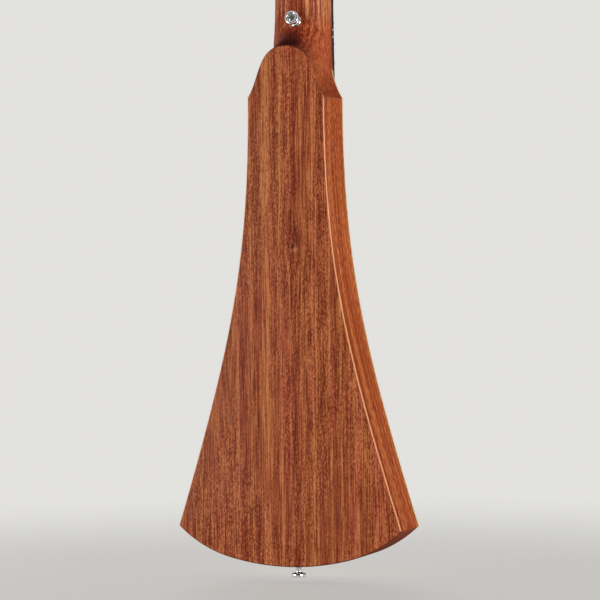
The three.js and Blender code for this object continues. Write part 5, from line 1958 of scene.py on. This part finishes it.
def tube(points, radius, sides=14):
    """A round wire through points, with mitred bends."""
    leads = [(after - before).normalized() for before, after in zip(points, points[1:])]
    across = Vector((1, 0, 0))
    rings = []
    for index, point in enumerate(points):
        before, after = leads[max(index - 1, 0)], leads[min(index, len(leads) - 1)]
        tangent = (before + after).normalized()
        across = (across - before * across.dot(before)).normalized()
        along = before.cross(across)
        ring = []
        for side in range(sides):
            angle = 2 * math.pi * side / sides
            spoke = across * math.cos(angle) + along * math.sin(angle)
            slide = -spoke.dot(tangent) / before.dot(tangent)
            ring.append(point + (spoke + before * slide) * radius)
        rings.append(ring)
        across = (across - after * across.dot(after)).normalized()
    return loft(rings)


for number in numbers:
    route = string_rest(number) + string_winds(number)
    slot = "plain_string" if number <= plain_strings else "wound_string"
    piece(f"wire_{number}", tube(route, string_radii[number - 1]), slot, stands_for=(f"string_{number}",))
    barrel = round_edges(along_x(rod(ball_radius, -ball_half_length, ball_half_length)), ball_arris)
    piece(f"ball_end_{number}", moved(barrel, Matrix.Translation(route[0])), "steel")
print("strings made:", string_count)

# %% [markdown]
# Strap buttons are turned metal: a flange on the wood, a slim waist for the strap, and a wide head with a
# thick bright rim. Inside the rim is a deep round recess with the head of the wood screw at its bottom.
# The screw's cross is cut as two crossed slots. One turned profile gives the whole button, recess and
# all, and only the screw needs cuts.

# %% Strap buttons and their screws
button_height = 10.8 * mm
button_waist_radius = 2.9 * mm
button_rim_radius = 6.2 * mm
button_face_radius = 5.1 * mm
recess_radius = 3.7 * mm
recess_depth = 2.6 * mm
screw_shank_radius = 1.7 * mm
screw_head_radius = 3.2 * mm
screw_head_height = 1.9 * mm
cross_half_width = 0.45 * mm
cross_half_length = 1.8 * mm
cross_depth = 1.1 * mm
screw_bore_radius = screw_shank_radius + seat_gap


def button_profile():
    """Half section of a button: flange, waist, underside of the head, rim, face, and the recess in it."""
    base, waist, rim, face = button_base_radius, button_waist_radius, button_rim_radius, button_face_radius
    top = button_height
    flange = 1.3 * mm
    soft = 0.35 * mm
    waist_low, waist_high = 0.33 * top, 0.54 * top
    under = 0.7 * top
    under_edge = 0.9 * rim
    rim_low, rim_middle, rim_high = 0.82 * top, 0.86 * top, 0.98 * top
    crown = 1.005 * top
    floor_y = top - recess_depth
    profile = [(screw_bore_radius, 0), (base - soft, 0), (base, soft), (base, flange - soft)]
    profile += bezier([(base - soft, flange), (waist, 1.1 * flange), (waist, waist_low)], steps=8)
    profile += [(waist, waist_low)]
    profile += bezier([(waist, waist_high), (waist, under), (under_edge, under)], steps=8)
    profile += bezier([(under_edge, under), (rim, under), (rim, rim_low)], steps=5)
    profile += bezier([(rim, rim_middle), (rim, rim_high), (face, top)], steps=8)
    profile += bezier([(face, top), (recess_radius, crown), (recess_radius, top - 2 * soft)], steps=6)
    return profile + [(recess_radius, floor_y), (screw_bore_radius, floor_y), (screw_bore_radius, 0)]


def cross_slots(half_length, half_width, low_y, high_y):
    """Two crossed blocks that cut a screw's cross."""
    reaches = ((half_length, half_width), (half_width, half_length))
    return [block((-x, low_y, -z), (x, high_y + overrun, z)) for x, z in reaches]


def make_screw(seat_y, length):
    low = seat_y + button_height - recess_depth + seat_gap
    high = low + screw_head_height
    tip = 5 * mm
    shoulder = low + 0.33 * screw_head_height
    handles = [(screw_head_radius, shoulder), (screw_head_radius, high), (screw_shank_radius, high)]
    dome = bezier(handles, steps=8)
    profile = [(0, low - length), (screw_shank_radius, low - length + tip), (screw_shank_radius, low)]
    profile += [(screw_head_radius, low), *dome, (screw_shank_radius, high), (0, high)]
    cross = cross_slots(cross_half_length, cross_half_width, high - cross_depth, high)
    return combine(turned(profile, sides=40), cross)


# Where each button sits, how high above its seat, and how long its screw is
button_places = {
    "heel": (heel_button_matrix, seat_gap - spot_face_depth, 18 * mm),
    "tail": (tail_button_matrix, seat_gap, 27 * mm),
}
for place_name, (matrix, seat_y, length) in button_places.items():
    button = moved(turned(button_profile(), sides=96), matrix @ shift(0, seat_y, 0))
    piece(f"strap_peg_{place_name}", button, "chrome", stands_for=(f"strap_button_{place_name}",))
    screw = moved(make_screw(seat_y, length), matrix)
    piece(f"peg_screw_{place_name}", screw, "steel", stands_for=(f"strap_screw_{place_name}",))
print("strap buttons made")

# %% [markdown]
# The tuning machines are the open kind. A plate with two ears is screwed to the back of the head. The
# button turns a worm between the ears, and the worm turns a small wheel on the foot of the post. Each
# machine is made in its own frame, with the post along Y and the worm along X, and is then moved to its
# place. The wheel is a loft through five outlines, each turned a little, so that its teeth slant.

# %% Wheels and posts of the tuning machines
post_hole_radius = 0.95 * mm
gear_teeth = 14
gear_module = 0.7 * mm
gear_face = 3 * mm
worm_pitch_radius = 2.3 * mm
worm_length = 7.4 * mm
running_gap = 0.25 * mm
root_clearance = 0.25 * mm
gear_pitch_radius = gear_teeth * gear_module / 2
gear_tip_radius = gear_pitch_radius + gear_module
gear_root_radius = gear_pitch_radius - gear_module - root_clearance
worm_tip_radius = worm_pitch_radius + gear_module - running_gap / 2
worm_root_radius = worm_pitch_radius - gear_module - root_clearance
worm_distance = gear_pitch_radius + worm_pitch_radius
worm_pitch = math.pi * gear_module
gear_twist = gear_face * worm_pitch / (2 * math.pi * worm_pitch_radius * gear_pitch_radius)
plate_thickness = 1.2 * mm
plate_y = -seat_gap - plate_thickness
worm_y = plate_y - seat_gap - worm_tip_radius
# Half width of a tooth as a share of the tooth step, at shares of its height
tooth_shares = ((0, 0.2075), (0.35, 0.17), (0.7, 0.125), (1, 0.08))


def machine_matrix(number):
    x, along = post_spot(number)[1:]
    return head_matrix @ shift(x, -head_thickness, along)


def wheel_ring(y, turn):
    """Outline of the wheel at a height. The teeth lean with the turn, as the thread does."""
    step = 2 * math.pi / gear_teeth
    tooth_height = gear_tip_radius - gear_root_radius
    flank = [(gear_root_radius + tooth_height * rise, step * half) for rise, half in tooth_shares]
    corners = [(radius, -half) for radius, half in flank] + flank[::-1]
    ring = []
    for tooth in range(gear_teeth):
        middle = (tooth + 0.5) * step + turn - math.pi / 2
        for radius, off in corners:
            ring.append((radius * math.cos(middle + off), y, radius * math.sin(middle + off)))
    return ring


def make_post():
    top = head_thickness + post_height
    hub_radius = 3.8 * mm
    hub_foot_radius = 0.67 * hub_radius
    cap, rim = 0.8 * mm, 1.6 * mm
    low = worm_y - gear_face / 2 - cap
    levels = (-0.5, -0.25, 0, 0.25, 0.5)
    wheel = loft([wheel_ring(worm_y + level * gear_face, -level * gear_twist) for level in levels])
    profile = [(0, low), (hub_foot_radius, low), (hub_radius, low + cap), (hub_radius, plate_y - seat_gap)]
    profile += [(post_radius, plate_y - seat_gap), (post_radius, head_thickness + rim)]
    profile += [(post_waist_radius, head_thickness + 2 * rim), (post_waist_radius, top - rim)]
    profile += [(post_radius, top - cap), (post_radius, top - cap / 2), (post_waist_radius, top), (0, top)]
    hole = along_x(rod(post_hole_radius, -2 * post_radius, 2 * post_radius))
    post = combine(turned(profile), [wheel], "UNION")
    return combine(post, [moved(hole, shift(0, top - post_hole_drop, 0))])


for number in numbers:
    post = moved(make_post(), machine_matrix(number))
    body, node = f"tuner_wheel_{number}", f"tuner_post_{number}"
    piece(f"post_{number}", post, "chrome", body, stands_for=(node,))
print("posts made, wheels with", gear_teeth, "teeth")

# %% [markdown]
# A button, its shaft and its worm turn as one, so they are one shape. The thread is a ridge that winds
# round the core as a loft of four-cornered rings. The button itself is a flattened egg, fuller than a plain
# ellipse, as fingers like it.

# %% Worms and buttons of the tuning machines
shaft_radius = 1.5 * mm
ear_thickness = 1.4 * mm
ear_x = worm_length / 2 + seat_gap
shaft_stub = 0.6 * mm
knob_standoff = 14 * mm
knob_length = 15 * mm
knob_half_width = 6 * mm
knob_half_thickness = 3 * mm
knob_power = 0.67
collar_radius = 2.3 * mm
collar_length = 2.2 * mm
collar_arris = 0.3 * mm
# Half width of the thread at its foot and at its tip, as shares of its pitch
thread_foot_share = 0.36
thread_tip_share = 0.09


def make_thread():
    """The ridge of the worm, which fades into the core at both ends."""
    turns = (worm_length - worm_pitch) / worm_pitch
    steps = 60
    sunk = worm_root_radius - root_clearance
    foot, tip = thread_foot_share * worm_pitch, thread_tip_share * worm_pitch
    rings = []
    for step in range(steps + 1):
        turn = (step / steps - 0.5) * turns
        angle = 2 * math.pi * turn
        ring = []
        for radius, offset in ((sunk, -foot), (worm_tip_radius, -tip), (worm_tip_radius, tip), (sunk, foot)):
            ring.append((turn * worm_pitch + offset, -radius * math.sin(angle), radius * math.cos(angle)))
        rings.append(ring)
    return loft(rings)


def make_knob():
    rings = []
    steps, sides = 22, 32
    for step in range(steps + 1):
        angle = math.pi * step / steps
        swell = max(math.sin(angle) ** knob_power, collar_radius / knob_half_width / 2)
        x = knob_standoff + knob_length * (1 - math.cos(angle)) / 2
        thick, wide = knob_half_thickness * swell, knob_half_width * swell
        turns = [2 * math.pi * side / sides for side in range(sides)]
        rings.append([(x, thick * math.sin(turn), wide * math.cos(turn)) for turn in turns])
    return loft(rings)


def make_button_shaft(side):
    inside = knob_standoff + overrun
    shaft = along_x(rod(shaft_radius, -ear_x - ear_thickness - shaft_stub, inside))
    core = along_x(rod(worm_root_radius, -worm_length / 2, worm_length / 2))
    collar = round_edges(rod(collar_radius, knob_standoff - collar_length, inside), collar_arris)
    body = combine(shaft, [core, along_x(collar), make_knob()], "UNION")
    joined = combine(moved(body, Matrix.Diagonal((side, 1, 1, 1))), [make_thread()], "UNION")
    return moved(joined, shift(0, worm_y, -worm_distance))


for number in numbers:
    side = post_spot(number)[0]
    button = moved(make_button_shaft(side), machine_matrix(number))
    body, node = f"tuner_knob_{number}", f"tuner_button_{number}"
    piece(f"knob_{number}", button, "chrome", body, stands_for=(node,))
print("buttons made, thread pitch", round(worm_pitch / mm, 2), "mm")

# %% [markdown]
# The plates come from the frame with softened edges. Two small round-headed screws hold each one, and on
# the face of the head a turned bushing guides each post.

# %% Plates, plate screws and bushings
plate_length = 27 * mm
plate_set_share = 0.57
plate_screw_inset = 2.4 * mm
plate_screw_radius = 1.9 * mm
plate_screw_height = 0.9 * mm
plate_arris = 0.25 * mm
bushing_radius = 4.4 * mm
bushing_height = 1.1 * mm


def make_plate_screw():
    radius, height = plate_screw_radius, plate_screw_height
    core = 0.4 * radius
    slot_half_length, slot_half_width = 0.6 * radius, 0.14 * radius
    slot_floor = 0.35 * height
    head = bezier([(radius, 0), (radius, height), (core, height)], steps=6)
    profile = [(0, -plate_thickness), (core, -plate_thickness), (core, 0), *head, (0, height)]
    return combine(turned(profile, sides=32), cross_slots(slot_half_length, slot_half_width, slot_floor, 0))


def make_bushing():
    bore = post_radius + running_gap
    sleeve = post_radius + seat_gap
    radius, top = bushing_radius, bushing_height
    soft = 0.4 * mm
    profile = [(bore, -overrun), (sleeve, -overrun), (sleeve, 0), (radius, 0)]
    profile += [(radius, top - soft), (radius - soft, top), (bore, top)]
    return turned([*profile, profile[0]])


low_end = -plate_set_share * plate_length
screw_places = (plate_screw_inset + low_end, low_end + plate_length - plate_screw_inset)
for number in numbers:
    x, along = post_spot(number)[1:]
    plate = round_edges(from_solid(f"tuner_plate_{number}"), plate_arris)
    piece(f"machine_plate_{number}", plate, "chrome", stands_for=(f"tuner_plate_{number}",))
    for index, z in enumerate(screw_places, 1):
        seat = machine_matrix(number) @ shift(0, plate_y, z) @ Matrix.Rotation(math.pi, 4, "X")
        piece(f"plate_screw_{number}_{index}", moved(make_plate_screw(), seat), "steel")
    piece(f"bushing_{number}", moved(make_bushing(), head_matrix @ shift(x, 0, along)), "chrome")
print("plates, screws and bushings made")

# %% [markdown]
# Inside the body lie the braces, the linings, the tail block and the plate under the bridge. They show only
# through the soundhole, so the shapes of the frame are enough, with the edges softened as with a plane.

# %% Inside the body
inside_arris = 0.4 * mm
inside_pieces = {
    "neck_wood": ("tail_block",),
    "back_wood": ("bridge_plate",),
    "steel": ("reinforcing_rod",),
    "brace_wood": (
        "lining_top_bass", "lining_top_treble", "lining_back_bass", "lining_back_treble", "top_cross_brace",
        "top_leg_brace_bass", "top_leg_brace_treble", "back_brace_upper", "back_brace_lower",
    ),
}
for slot, names in inside_pieces.items():
    for name in names:
        shape = round_edges(from_solid(name), inside_arris, segments=2)
        piece(f"{name}_shape", shape, slot, stands_for=(name,))
    print("inside, in", slot + ":", len(names))

# %% [markdown]
# At the end the size of the dressed guitar is compared with the size of the frame.

# %% Check and finish
new_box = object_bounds()
growth = (new_box[1] - new_box[0]) - (cad_box[1] - cad_box[0])
print("dressed size minus frame size, in mm:", [round(part / mm, 2) for part in growth])
